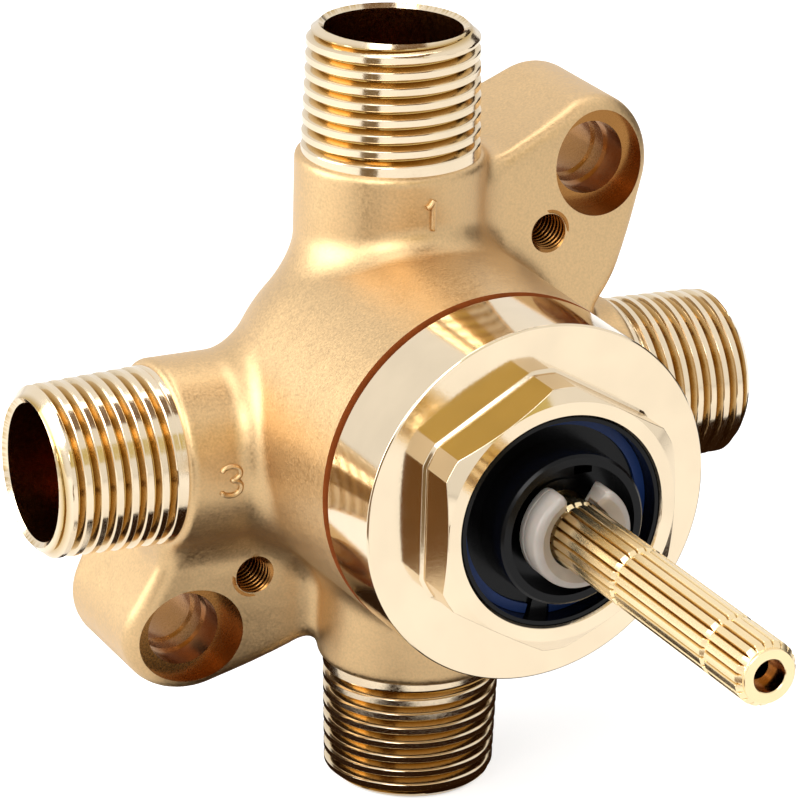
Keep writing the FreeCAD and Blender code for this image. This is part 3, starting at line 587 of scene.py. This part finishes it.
def casting_tools(cast, ports):
    """Everything that a machinist cuts: the front, the chamber, the bores and the ear holes."""
    machined, bored = finish_of("lathe_turned_brass"), finish_of("bored_brass")
    bore_shade_finish = finish_of("oiled_bored_brass")
    front, beyond = cast["front"], cast["front"] + 3.0
    # The casting's front face, in the flange's shade, takes the painted gap shade
    tools = [cutter("front_face", [(front, 0), (front, 30), (beyond, 30), (beyond, 0)],
                    STEM_FRAME, 96, finish_of("dried_jointing_compound"))]
    floor, chamber, seat, thread, mouth = 7.5, 14.9, 17.4, 18.05, 18.45
    # The chamber and the port bores take painted shade
    tools.append(cutter("chamber", [
        (floor, 0), (floor, chamber), (16.5, chamber), (16.5, seat), (20.5, seat),
        (20.5, thread), (front - 0.3, thread), (front + 0.1, mouth), (front + 1, mouth),
        (front + 1, 0),
    ], STEM_FRAME, 128, bore_shade_finish))
    ends = {"top": 4.5, "right": 3.0, "left": 3.0, "inlet": 11.0}
    bore_end, outside = 29.0, 40.0
    for name, port in PORTS.items():
        passage = 6.0 if name == "inlet" else 5.2
        shoulder = bore_end - ports["bore"] + passage
        tools.append(cutter(name + "_bore", [
            (ends[name], 0), (ends[name], passage), (shoulder, passage),
            (bore_end, ports["bore"]), (outside, ports["bore"]), (outside, 0)], port, 96, bore_shade_finish))
    # In the screw holes the front wall and the counterbore's wall take painted shade
    for tilt, frame_of in enumerate(ear_frames(cast["hole_reach"])):
        tools.append(cutter("screw_hole_%d" % tilt, [
            (-18, 0), (-18, 4.0), (-6.3, 4.0), (-6.3, 4.3), (-3.6, 4.3), (-3.6, 4.6), (0.6, 4.6),
            (0.6, 6.4), (7.0, 6.4), (7.0, 0),
        ], frame_of, 96, bored, bore_shade_finish, machined, rows=[0, 2, 0, 2, 1, 0, 1]))
    for tilt, frame_of in enumerate(ear_frames(cast["tap_reach"])):
        tools.append(cutter("tapped_hole_%d" % tilt, [
            (-10.1, 0), (-9.0, 2.25), (4.6, 2.25), (4.69, 2.25), (5.16, 2.72), (6.5, 4.06),
            (6.5, 0)], frame_of, 64, bored))
    return tools


class OBJECT_OT_valve_casting(bpy.types.Operator):
    """Build the casting's blended skin and cut its machined faces"""
    bl_idname = "object.valve_casting"
    bl_label = "Casting"

    def execute(self, context):
        cast, ports = sizes(context.scene.valve_casting), sizes(context.scene.valve_ports)
        step = cast["step"]
        low = np.array([-36.0, -30.2, -36.0])
        axes = [low[i] + step * np.arange(int(round(span / step)))
                for i, span in enumerate((72.0, 48.0, 72.0))]
        x, y, z = np.meshgrid(*axes, indexing="ij", sparse=True)

        def distance(*spots):
            return cast_distance(*spots, cast, ports)
        field = np.broadcast_to(distance(x, y, z), [len(a) for a in axes])
        points, quads = skin(field, low, step)
        mesh = new_mesh("casting", settle(points, distance), quads)
        mesh.materials.append(finish_of("blasted_cast_brass"))
        piece = new_piece("casting", mesh, "casting", None)
        mesh = cut_away(piece, casting_tools(cast, ports))
        mesh.polygons.foreach_set("use_smooth", np.ones(len(mesh.polygons), bool))
        mesh.set_sharp_from_angle(angle=math.radians(35))
        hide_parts("valve_body")
        return {"FINISHED"}


def thread_height(phase, crest, root):
    """One pitch of a thread form as a share of its depth: flat crest, straight flanks."""
    away = np.abs((phase % 1.0) - 0.5) * 2
    return np.clip((away - root) / (1 - crest - root), 0, 1)


def thread_form():
    """One pitch of the ports' thread as (share of the pitch, share of the depth).

    A flat crest, a short eased shoulder on each side, straight flanks and a narrow root;
    each straight part has a few points, so that the mouth's chamfer can cut it cleanly.
    """
    corners = np.array([(0.0, 1.0), (0.18, 1.0), (0.25, 0.9), (0.48, 0.0), (0.52, 0.0),
                        (0.75, 0.9), (0.82, 1.0), (1.0, 1.0)])
    parts = [3, 1, 5, 1, 5, 1, 3]
    along = [np.linspace(a, b, n, endpoint=False)
             for a, b, n in zip(corners[:-1, 0], corners[1:, 0], parts)]
    share = np.concatenate(along)
    return share, np.interp(share, *corners.T)


def spigot_mesh(ports, port, start_share, name):
    """A male taper thread with its mouth and bore, as one closed tube.

    Each row of the grid follows the helix: its distance out is pitch * (row's share +
    t / turn), held between the boss and the mouth, so the last column of a row joins
    the first column one pitch further on. The radius is the crest cone less the form's
    depth, held under the mouth's chamfer; the grooves run out before the boss.
    """
    reach, pitch, columns = ports["reach"], ports["pitch"], ports["columns"]
    chamfer, ridge, sink = 1.25, 8.94, 0.51
    start, run_out = ports["boss_reach"] - 0.5, ports["boss_reach"] + 0.5
    share, height = thread_form()
    first = math.floor(start / pitch - start_share) - 1
    turns = math.ceil(reach / pitch - start_share - first) + 1
    rows = (first + start_share + np.arange(turns)[:, None] + share[None, :]).ravel()
    angle = np.arange(columns) / columns * TURN
    along = np.clip(pitch * (rows[:, None] + angle[None, :] / TURN), start, reach)
    inward = reach - along
    cone = ports["crest"] + inward / 32
    fade = np.clip((along - run_out) / 1.0, 0, 1)
    groove = (1 - np.tile(height, turns))[:, None] * fade
    mouth = ridge + (ports["crest"] + chamfer / 32 - ridge) * inward / chamfer
    outer = np.minimum(cone - groove * ports["depth"], mouth)
    bore_rows = np.array([(reach - sink, ports["bore"] + 0.02), (reach - sink - 0.4, ports["bore"]),
                          (start, ports["bore"])])
    inner_along = np.repeat(bore_rows[:, :1], columns, 1)
    inner_radius = np.repeat(bore_rows[:, 1:], columns, 1)
    points = place(port, np.vstack([along, inner_along]), np.vstack([outer, inner_radius]),
                   angle[None, :])
    count, step = len(rows), len(share)
    helix = grid_faces(count, columns, False, False)
    low = np.arange(count - step - 1)
    last = low * columns + columns - 1
    beyond = (low + step) * columns
    seam = np.stack([last, beyond, beyond + columns, last + columns], -1)
    ring = grid_faces(len(bore_rows) + 1, columns, False, True) + (count - 1) * columns
    here = np.arange(columns)
    beside = (here + 1) % columns
    floor = (count + len(bore_rows) - 1) * columns
    closing = np.stack([floor + here, floor + beside, beside, here], -1)
    mesh = new_mesh(name, points, np.vstack([helix, seam, ring, closing]))
    mark_grooves(mesh, np.vstack([groove, np.zeros_like(inner_radius)]))
    index = np.zeros(len(mesh.polygons), np.int32)
    index[len(helix) + len(seam) + columns:] = 1
    mesh.polygons.foreach_set("material_index", index)
    held = bmesh.new()
    held.from_mesh(mesh)
    bmesh.ops.remove_doubles(held, verts=held.verts, dist=0.0005 * MM)
    held.to_mesh(mesh)
    held.free()
    return mesh


class OBJECT_OT_valve_spigots(bpy.types.Operator):
    """Cut the taper threads of the four ports"""
    bl_idname = "object.valve_spigots"
    bl_label = "Port threads"

    def execute(self, context):
        ports = sizes(context.scene.valve_ports)
        starts = {"top": -0.14, "right": -0.2, "left": 0.14, "inlet": 0.13}
        for name, port in PORTS.items():
            mesh = spigot_mesh(ports, port, starts[name], "thread_" + name)
            mesh.materials.append(finish_of("threaded_brass"))
            # The thread's inner bore takes painted shade
            mesh.materials.append(finish_of("oiled_bored_brass"))
            piece = new_piece("thread_" + name, mesh, "casting", None, 28.0)
            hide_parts("valve_body")
        return {"FINISHED"}


def tapped_mesh(frame_of, name):
    """An M5 thread inside a tapped hole, as a closed ring whose inner wall is the helix."""
    pitch, crest, depth, wall = 0.8, 2.1, 0.4, 2.75
    floor, rim, drilled, bevel_from = -8.6, 4.7, 2.25, 4.6
    rows = np.linspace(floor, rim, int((rim - floor) / pitch * 12))
    columns = 72
    angle = np.arange(columns) / columns * TURN
    phase = rows[:, None] / pitch - angle[None, :] / TURN
    inner = crest + depth * thread_height(phase, 0.15, 0.15)
    inner = np.maximum(inner, drilled + (rows[:, None] - bevel_from))
    along = np.broadcast_to(rows[:, None], inner.shape)
    outer = np.full((2, columns), wall)
    ends = np.repeat([[rows[0]], [rows[-1]]], columns, 1)
    points = place(frame_of, np.vstack([along[::-1], ends]), np.vstack([inner[::-1], outer]),
                   angle[None, :])
    return new_mesh(name, points, grid_faces(len(rows) + 2, columns, True, True))


class OBJECT_OT_valve_tapped(bpy.types.Operator):
    """Cut the threads of the two tapped holes"""
    bl_idname = "object.valve_tapped"
    bl_label = "Tapped holes"

    def execute(self, context):
        cast = sizes(context.scene.valve_casting)
        for name, frame_of in zip(("upper", "lower"), ear_frames(cast["tap_reach"])):
            mesh = tapped_mesh(frame_of, "tapped_" + name)
            new_piece("tapped_" + name, mesh, "casting",
                      finish_of("bored_brass"), 60.0)
        return {"FINISHED"}


BEAD_HALF = 0.34
BEAD_HEIGHT = 0.42
STROKES = {
    "1": [[(-0.95, 1.0), (-0.45, 1.3), (0.0, 1.95)], [(0.0, 1.95), (0.0, 0.6), (0.0, -1.95)]],
    "2": [[(-1.3, 1.07), (-0.9, 1.69), (0.1, 1.82), (1.0, 1.42), (1.15, 0.71), (0.6, -0.18),
           (-0.6, -1.16), (-1.3, -1.73)], [(-1.3, -1.73), (0.0, -1.73), (1.3, -1.73)]],
    "3": [[(-1.25, 1.16), (-0.85, 1.64), (0.1, 1.82), (1.0, 1.47), (1.15, 0.76), (0.55, 0.22),
           (-0.15, 0.09)], [(-0.15, 0.09), (0.7, 0.0), (1.25, -0.53), (1.15, -1.33),
                            (0.35, -1.82), (-0.7, -1.69), (-1.35, -1.16)]],
}


def smooth_path(points, count):
    """A Catmull-Rom curve through points, sampled evenly in its parameter."""
    knots = np.array([points[0]] + list(points) + [points[-1]], float)
    spans = len(knots) - 3
    spot = np.linspace(0, spans - 1e-6, count)
    i = spot.astype(int)
    t = (spot - i)[:, None]
    a, b, c, d = knots[i], knots[i + 1], knots[i + 2], knots[i + 3]
    return 0.5 * (2 * b + (c - a) * t + (2 * a - 5 * b + 4 * c - d) * t ** 2
                  + (3 * b - a - 3 * c + d) * t ** 3)


def stroke_points(path, half, height):
    """A half-round bead along a flat path, as (across, up, out) with ends drawn together."""
    step = np.gradient(path, axis=0)
    step /= np.maximum(np.hypot(*step.T), 1e-9)[:, None]
    beside = np.stack([-step[:, 1], step[:, 0]], -1)
    sweep = np.linspace(0, TURN, 12, endpoint=False)
    taper = np.ones(len(path))
    taper[0] = taper[-1] = 0.02
    taper[1] = taper[-2] = 0.75
    flat = path[:, None] + (np.cos(sweep)[None, :, None] * half * taper[:, None, None]
                            * beside[:, None])
    out = np.sin(sweep)[None, :] * height * taper[:, None]
    return np.concatenate([flat, out[..., None]], -1)


def numeral_mesh(digit, port, at_angle, at_along, radius, across_sign, name):
    """A raised numeral laid on a boss: across it runs round or along the boss's axis."""
    points, faces, first = [], [], 0
    for stroke in STROKES[digit]:
        bead = stroke_points(smooth_path(stroke, 28), BEAD_HALF, BEAD_HEIGHT)
        across, up, out = np.moveaxis(bead, -1, 0)
        if across_sign is None:
            angle, along = at_angle + across / radius, at_along + up
        else:
            angle, along = at_angle + up / radius, at_along + across_sign * across
        spots = place(port, along, radius + out, angle)
        rows, columns = spots.shape[:2]
        points.append(spots.reshape(-1, 3))
        faces.append(grid_faces(rows, columns, False, True) + first)
        first += rows * columns
    return new_mesh(name, np.vstack(points), np.vstack(faces))


class OBJECT_OT_valve_numerals(bpy.types.Operator):
    """Raise the outlet numerals on the bosses"""
    bl_idname = "object.valve_numerals"
    bl_label = "Outlet numerals"

    def execute(self, context):
        radius = sizes(context.scene.valve_ports)["boss"]
        places = {
            "1": ("top", -math.pi / 2, 26.1, None, 0.15),
            "2": ("right", math.pi, 25.7, 1, 0.0),
            "3": ("left", math.pi, 25.7, -1, 0.0),
        }
        for digit, (port, angle, along, sign, rise) in places.items():
            mesh = numeral_mesh(digit, PORTS[port], angle, along, radius + rise, sign,
                                "numeral_" + digit)
            new_piece("numeral_" + digit, mesh, "casting",
                      finish_of("blasted_cast_brass"))
        return {"FINISHED"}


def hexagon(angle, apothem, corner):
    """The radius of a hexagon with its corners turned down, flats facing across."""
    folded = np.abs((angle + math.pi / 6) % (math.pi / 3) - math.pi / 6)
    return np.minimum(apothem / np.cos(folded), corner)


def hexagon_angles(apothem, corner):
    """Angles round a hexagon that fall on each end of each flat."""
    half = math.acos(apothem / corner)
    flat = np.linspace(-half, half, 25)[:-1]
    turned = np.linspace(half, math.pi / 3 - half, 9)[:-1]
    one = np.concatenate([flat, turned])
    return np.concatenate([one + math.pi / 3 * i for i in range(6)])


class OBJECT_OT_valve_bonnet(bpy.types.Operator):
    """Turn the bonnet: its neck, flange and hexagon"""
    bl_idname = "object.valve_bonnet"
    bl_label = "Bonnet"

    def execute(self, context):
        trim = sizes(context.scene.valve_trim)
        flange, corner = trim["flange"], trim["corner"]
        apothem = trim["flats"] / 2
        face, front, base, bore = 14.54, 45.96, 39.8, 12.69
        angle = hexagon_angles(apothem, corner)
        hexed = hexagon(angle, apothem, corner)
        top = front - (hexed - face) * 0.9 / (corner - face)
        even = np.ones_like(angle)
        rows = [(16.8, 14.7), (16.8, 17.35), (18.1, 17.35), (18.1, 15.7), (20.0, 15.7),
                (20.0, 17.35), (20.8, 17.35), (20.8, 18.0), (29.05, 18.0),
                (29.05, flange - 0.44), (29.49, flange), (base - 0.19, flange),
                (base, flange - 0.19), (base, hexed + 0.35), (base + 0.35, hexed),
                (top, hexed), (front, face), (front, bore + 0.3), (front - 0.3, bore),
                (30.3, bore), (30.3, 14.7)]
        along = np.stack([even * a for a, _ in rows])
        radius = np.stack([even * r for _, r in rows])
        points = place(STEM_FRAME, along, radius, angle[None, :])
        mesh = new_mesh("bonnet", points, grid_faces(len(rows), len(angle), True, True))
        mesh.materials.append(finish_of("lathe_turned_brass"))
        # The neck, seen through the gap, takes the painted gap shade
        mesh.materials.append(finish_of("dried_jointing_compound"))
        neck = np.arange(len(mesh.polygons)) < rows.index((29.05, flange - 0.44)) * len(angle)
        mesh.polygons.foreach_set("material_index", neck.astype(np.int32))
        piece = new_piece("bonnet", mesh, "casting", None, 25.0)
        bevel(piece, 0.12)
        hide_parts("bonnet_nut")
        return {"FINISHED"}


class OBJECT_OT_valve_stem(bpy.types.Operator):
    """Broach the stem: its teeth, marks, tapped tip, ring slots and tang"""
    bl_idname = "object.valve_stem"
    bl_label = "Stem"

    def execute(self, context):
        trim = sizes(context.scene.valve_trim)
        tip, crest, root = trim["tip"], trim["crest"], trim["root"]
        columns = trim["teeth"] * 16
        angle = np.arange(columns) / columns * TURN
        wave = np.abs((angle * trim["teeth"] / TURN) % 1.0 - 0.5) * 2
        valley = 1 - np.clip(wave * 3.2, 0, 1)
        tooth = crest - (crest - root) * valley
        marks, mark_depth = (49.7, 64.2, 84.0), 0.5
        shaft = np.unique(np.concatenate(
            [np.linspace(47.9, tip - 0.1, 60), np.linspace(tip - 1.1, tip - 0.1, 11)]
            + [m + np.linspace(-0.6, 0.6, 13) for m in marks]))
        deep = crest - root + 0.05
        rows, radii, depths = [], [], []

        def row(along, radius, depth=0.0):
            rows.append(along)
            radii.append(np.broadcast_to(radius, angle.shape))
            depths.append(np.broadcast_to(depth, angle.shape))
        tang = np.minimum(4.9, 3.0 / np.maximum(np.abs(np.cos(angle)), 1e-6))
        row(22.0, tang)
        row(28.9, tang)
        for along, radius in ((28.9, 6.5), (31.3, 6.5), (31.3, 4.9), (33.6, 4.9), (33.6, 3.6),
                              (35.4, 3.6), (35.4, 4.9), (38.6, 4.9), (38.6, 3.6), (40.4, 3.6),
                              (40.4, 4.9), (44.2, 4.9), (44.2, 3.2), (47.9, 3.2)):
            row(along, radius)
        for along in shaft:
            dip = max([0.0, min(deep, along - tip + 1.0)]
                      + [mark_depth - abs(along - m) for m in marks])
            row(along, np.minimum(tooth, crest - dip), valley * (1 - min(1.0, dip / deep)))
        row(tip, root - 0.15)
        for along, radius in ((tip, 2.0), (tip - 0.1, 1.9), (tip - 2.6, 1.9), (tip - 2.6, 1.35),
                              (tip - 13.0, 1.35)):
            row(along, radius)
        along = np.broadcast_to(np.array(rows)[:, None], (len(rows), columns))
        ring = place(STEM_FRAME, along, np.stack(radii), angle[None, :]).reshape(-1, 3)
        poles = place(STEM_FRAME, np.array([22.0, tip - 13.4]), np.zeros(2), np.zeros(2))
        sides = grid_faces(len(rows), columns, False, True).tolist()
        fans = pole_fans(len(rows), columns)
        mesh = bpy.data.meshes.new("stem_brass")
        mesh.from_pydata((np.vstack([ring, poles]) * MM).tolist(), [], sides + fans)
        mark_grooves(mesh, np.append(np.stack(depths), [0.0, 0.0]))
        mesh.materials.append(finish_of("broached_brass"))
        # The stem tip's bore takes painted shade
        mesh.materials.append(finish_of("oiled_bored_brass"))
        strip = np.arange(len(sides) + len(fans)) // columns
        tip_bore = np.isin(strip, (len(rows) - 4, len(rows) - 2, len(rows)))
        mesh.polygons.foreach_set("material_index", tip_bore.astype(np.int32))
        piece = new_piece("stem_brass", mesh, "stem", None, 38.0)
        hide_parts("splined_stem")
        return {"FINISHED"}


class OBJECT_OT_valve_clip(bpy.types.Operator):
    """Mould the split clip that holds the stem"""
    bl_idname = "object.valve_clip"
    bl_label = "Clip"

    def execute(self, context):
        trim = sizes(context.scene.valve_trim)
        middle = math.radians(88)
        gap = trim["opening"] / 2
        sweep = np.linspace(middle + gap, middle + TURN - gap, 90)
        round_out = np.linspace(0, math.pi / 2, 7)
        section = [(47.1, 3.32), (47.1, 6.1), (47.2, 6.2), (47.9, 6.2), (47.96, 6.1),
                   (48.2, 6.1), (48.26, 6.2)]
        section += [(50.3 + 0.9 * math.sin(t), 5.3 + 0.9 * math.cos(t)) for t in round_out]
        section += [(50.95, 5.0), (50.45, 4.3), (50.3, 4.02), (47.8, 4.0), (47.8, 3.32)]
        loop = np.array(section)
        centre = np.array([49.2, 4.8])
        inset = np.ones(len(sweep))
        inset[0] = inset[-1] = 0.72
        inset[1] = inset[-2] = 0.93
        inset[2] = inset[-3] = 0.98
        shaped = centre + (loop[None] - centre) * inset[:, None, None]
        points = place(STEM_FRAME, shaped[..., 0], shaped[..., 1], sweep[:, None])
        rows, columns = points.shape[:2]
        sides = grid_faces(rows, columns, False, True)[:, ::-1].tolist()
        last = (rows - 1) * columns
        caps = [list(range(columns)), [last + i for i in reversed(range(columns))]]
        mesh = bpy.data.meshes.new("clip")
        mesh.from_pydata((points.reshape(-1, 3) * MM).tolist(), [], sides + caps)
        piece = new_piece("clip", mesh, "stem", finish_of("natural_nylon"), 40.0)
        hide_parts("stem_clip")
        return {"FINISHED"}


class OBJECT_OT_valve_inside(bpy.types.Operator):
    """Give the cartridge and the seals their finishes"""
    bl_idname = "object.valve_inside"
    bl_label = "Cartridge finishes"

    def execute(self, context):
        finishes = {
            "moulded_black_acetal": ("cartridge_housing", "cartridge_base"),
            "moulded_blue_acetal": ("stop_ring",),
            "grey_acetal": ("disc_carrier", "thrust_washer"),
            "lapped_alumina": ("moving_disc", "fixed_disc"),
            "nitrile_rubber": ("bonnet_o_ring", "housing_o_ring", "stem_o_ring_rear",
                               "stem_o_ring_front", "outlet_seal_1", "outlet_seal_2",
                               "outlet_seal_3", "disc_seal_1", "disc_seal_2", "disc_seal_3"),
        }
        for name, nodes in finishes.items():
            for node in nodes:
                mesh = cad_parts[node].data
                mesh.materials.clear()
                mesh.materials.append(finish_of(name))
        return {"FINISHED"}


def card(name, centre, target, width, height, colour):
    """A glowing card that only reflections show, a painted reflection: it faces a target."""
    half_w, half_h = width / 2, height / 2
    back = Vector(centre) - Vector(target)
    turn = back.to_track_quat("Z", "Y")
    corners = [turn @ Vector((sx * half_w, sy * half_h, 0)) + Vector(centre)
               for sx, sy in ((-1, -1), (1, -1), (1, 1), (-1, 1))]
    mesh = bpy.data.meshes.new(name)
    mesh.from_pydata([tuple(c) for c in corners], [], [(0, 1, 2, 3)])
    piece = new_object(name, mesh)
    material = bpy.data.materials.new(name)
    tree = empty_tree(material)
    glow = add_node(tree, "ShaderNodeEmission", {"Color": colour, "Strength": 1.0})
    add_node(tree, "ShaderNodeOutputMaterial", {}, {"Surface": (glow, "Emission")})
    mesh.materials.append(material)
    piece.visible_camera = False
    piece.visible_shadow = False
    piece.visible_diffuse = False


def lamp(name, spot, target, size, power):
    """A square soft lamp that faces a target."""
    data = bpy.data.lights.new(name, "AREA")
    data.shape = "SQUARE"
    data.size = size
    data.energy = power
    piece = new_object(name, data)
    piece.location = spot
    piece.rotation_mode = "QUATERNION"
    piece.rotation_quaternion = (Vector(target) - Vector(spot)).to_track_quat("-Z", "Y")


def level_by_ray(tree, seen, mirrored, dim):
    """One level for the camera, one for reflections and glass, and one for the rest."""
    path = add_node(tree, "ShaderNodeLightPath")
    bent = add_node(tree, "ShaderNodeMath", {"operation": "MAXIMUM"},
                    {0: (path, "Is Glossy Ray"), 1: (path, "Is Transmission Ray")})
    unseen = add_node(tree, "ShaderNodeMix", {"data_type": "RGBA", 6: dim, 7: mirrored},
                      {0: (bent, "Value")})
    return add_node(tree, "ShaderNodeMix", {"data_type": "RGBA", 7: seen},
                    {0: (path, "Is Camera Ray"), 6: (unseen, 2)})


class OBJECT_OT_valve_stage(bpy.types.Operator):
    """Set the floor, the lamps, the cards, the world and the camera"""
    bl_idname = "object.valve_stage"
    bl_label = "Stage"

    def execute(self, context):
        scene = context.scene
        floor_z = CAD_BOX[0].z - 0.0002
        side = 3.0
        mesh = bpy.data.meshes.new("floor")
        mesh.from_pydata([(-side, -side, floor_z), (side, -side, floor_z),
                          (side, side, floor_z), (-side, side, floor_z)], [], [(0, 1, 2, 3)])
        floor = new_object("floor", mesh)
        material = bpy.data.materials.new("painted_floor")
        tree = empty_tree(material)
        flat = add_node(tree, "ShaderNodeBsdfDiffuse", {"Color": linear("#d8d8d8")})
        levels = level_by_ray(tree, linear("#ffffff"), linear("#cbcbcb"), linear("#000000"))
        glow = add_node(tree, "ShaderNodeEmission", {"Strength": 0.7}, {"Color": (levels, 2)})
        both = add_node(tree, "ShaderNodeAddShader", {},
                        {0: (flat, "BSDF"), 1: (glow, "Emission")})
        add_node(tree, "ShaderNodeOutputMaterial", {}, {"Surface": (both, "Shader")})
        mesh.materials.append(material)

        world = bpy.data.worlds.new("studio")
        tree = empty_tree(world)
        white = linear("#ffffff")
        colour = level_by_ray(tree, white, white, linear("#a9a9a9"))
        back = add_node(tree, "ShaderNodeBackground", {"Strength": 1.0},
                        {"Color": (colour, 2)})
        add_node(tree, "ShaderNodeOutputWorld", {}, {"Surface": (back, "Background")})
        scene.world = world

        middle = (0.0, -0.03, 0.0)
        lamp("key_lamp", (-0.7, -0.7, 0.9), middle, 0.7, 7.0)
        lamp("left_lamp", (-1.0, 0.35, 0.4), middle, 0.8, 9.0)
        lamp("top_lamp", (0.1, 0.1, 1.2), middle, 0.8, 7.0)

        # Glowing cards seen only in reflections: painted reflections, dark and brown where the
        # metal should mirror shade, and a pale one in front
        dark = linear("#2c1a0c")
        brown = linear("#7a5a35")
        card("card_strip", (-0.105, -0.08, 0.0), (0.0, 0.0, 0.0), 0.05, 0.09, linear("#877255"))
        card("card_right", (0.5, 0.1, -0.05), middle, 0.5, 0.6, dark)
        card("card_top", (0.1, -0.05, 0.6), middle, 0.34, 0.3, brown)
        card("card_front", (-0.05, -0.75, 0.5), middle, 0.7, 0.35, linear("#dcc981"))
        low = CAD_BOX[0].z + 0.001
        card("card_low", (-0.075, -0.16, low), (-0.075, -0.16, 1.0), 0.08, 0.08, brown)
        card("card_under", (0.05, 0.03, low), (0.05, 0.03, 1.0), 0.16, 0.14, dark)

        data = bpy.data.cameras.new("camera")
        # The photo's camera: its focal length and its width are in pixels
        focal, width = 4584.65, 800
        data.sensor_width = 36.0
        data.lens = data.sensor_width * focal / width
        data.clip_start, data.clip_end = 0.05, 20.0
        camera = new_object("camera", data)
        columns = ((0.89545642, -0.44439977, 0.02581933),
                   (0.1365977, 0.32951885, 0.93421539), (-0.42367, -0.83302, 0.35580))
        turn = Matrix(columns).transposed().to_4x4()
        camera.matrix_world = Matrix.Translation((-0.235393, -0.467114, 0.197929)) @ turn
        scene.camera = camera
        scene.view_settings.view_transform = "Standard"
        return {"FINISHED"}


class VIEW3D_PT_valve(bpy.types.Panel):
    """Sizes, colours and build steps of the valve"""
    bl_label = "Shower valve body"
    bl_space_type = "VIEW_3D"
    bl_region_type = "UI"
    bl_category = "Valve"

    def draw(self, context):
        for group in GROUPS:
            box = self.layout.box()
            held = getattr(context.scene, group)
            for key in held.__annotations__:
                box.prop(held, key)
        for step in STEPS:
            self.layout.operator(step.bl_idname)


GROUPS = {
    "valve_ports": ValvePorts,
    "valve_casting": ValveCasting,
    "valve_trim": ValveTrim,
    "valve_colours": ValveColours,
}
STEPS = (
    OBJECT_OT_valve_casting,
    OBJECT_OT_valve_spigots,
    OBJECT_OT_valve_tapped,
    OBJECT_OT_valve_numerals,
    OBJECT_OT_valve_bonnet,
    OBJECT_OT_valve_stem,
    OBJECT_OT_valve_clip,
    OBJECT_OT_valve_inside,
    OBJECT_OT_valve_stage,
)


def register():
    for kind in (*GROUPS.values(), *STEPS, VIEW3D_PT_valve):
        bpy.utils.register_class(kind)
    for group, kind in GROUPS.items():
        setattr(bpy.types.Scene, group, PointerProperty(type=kind))


def unregister():
    for group in GROUPS:
        delattr(bpy.types.Scene, group)
    for kind in reversed((*GROUPS.values(), *STEPS, VIEW3D_PT_valve)):
        bpy.utils.unregister_class(kind)


def main():
    """Build every piece and the stage."""
    register()
    for step in STEPS:
        group, name = step.bl_idname.split(".")
        getattr(getattr(bpy.ops, group), name)()


if __name__ == "__main__":
    main()
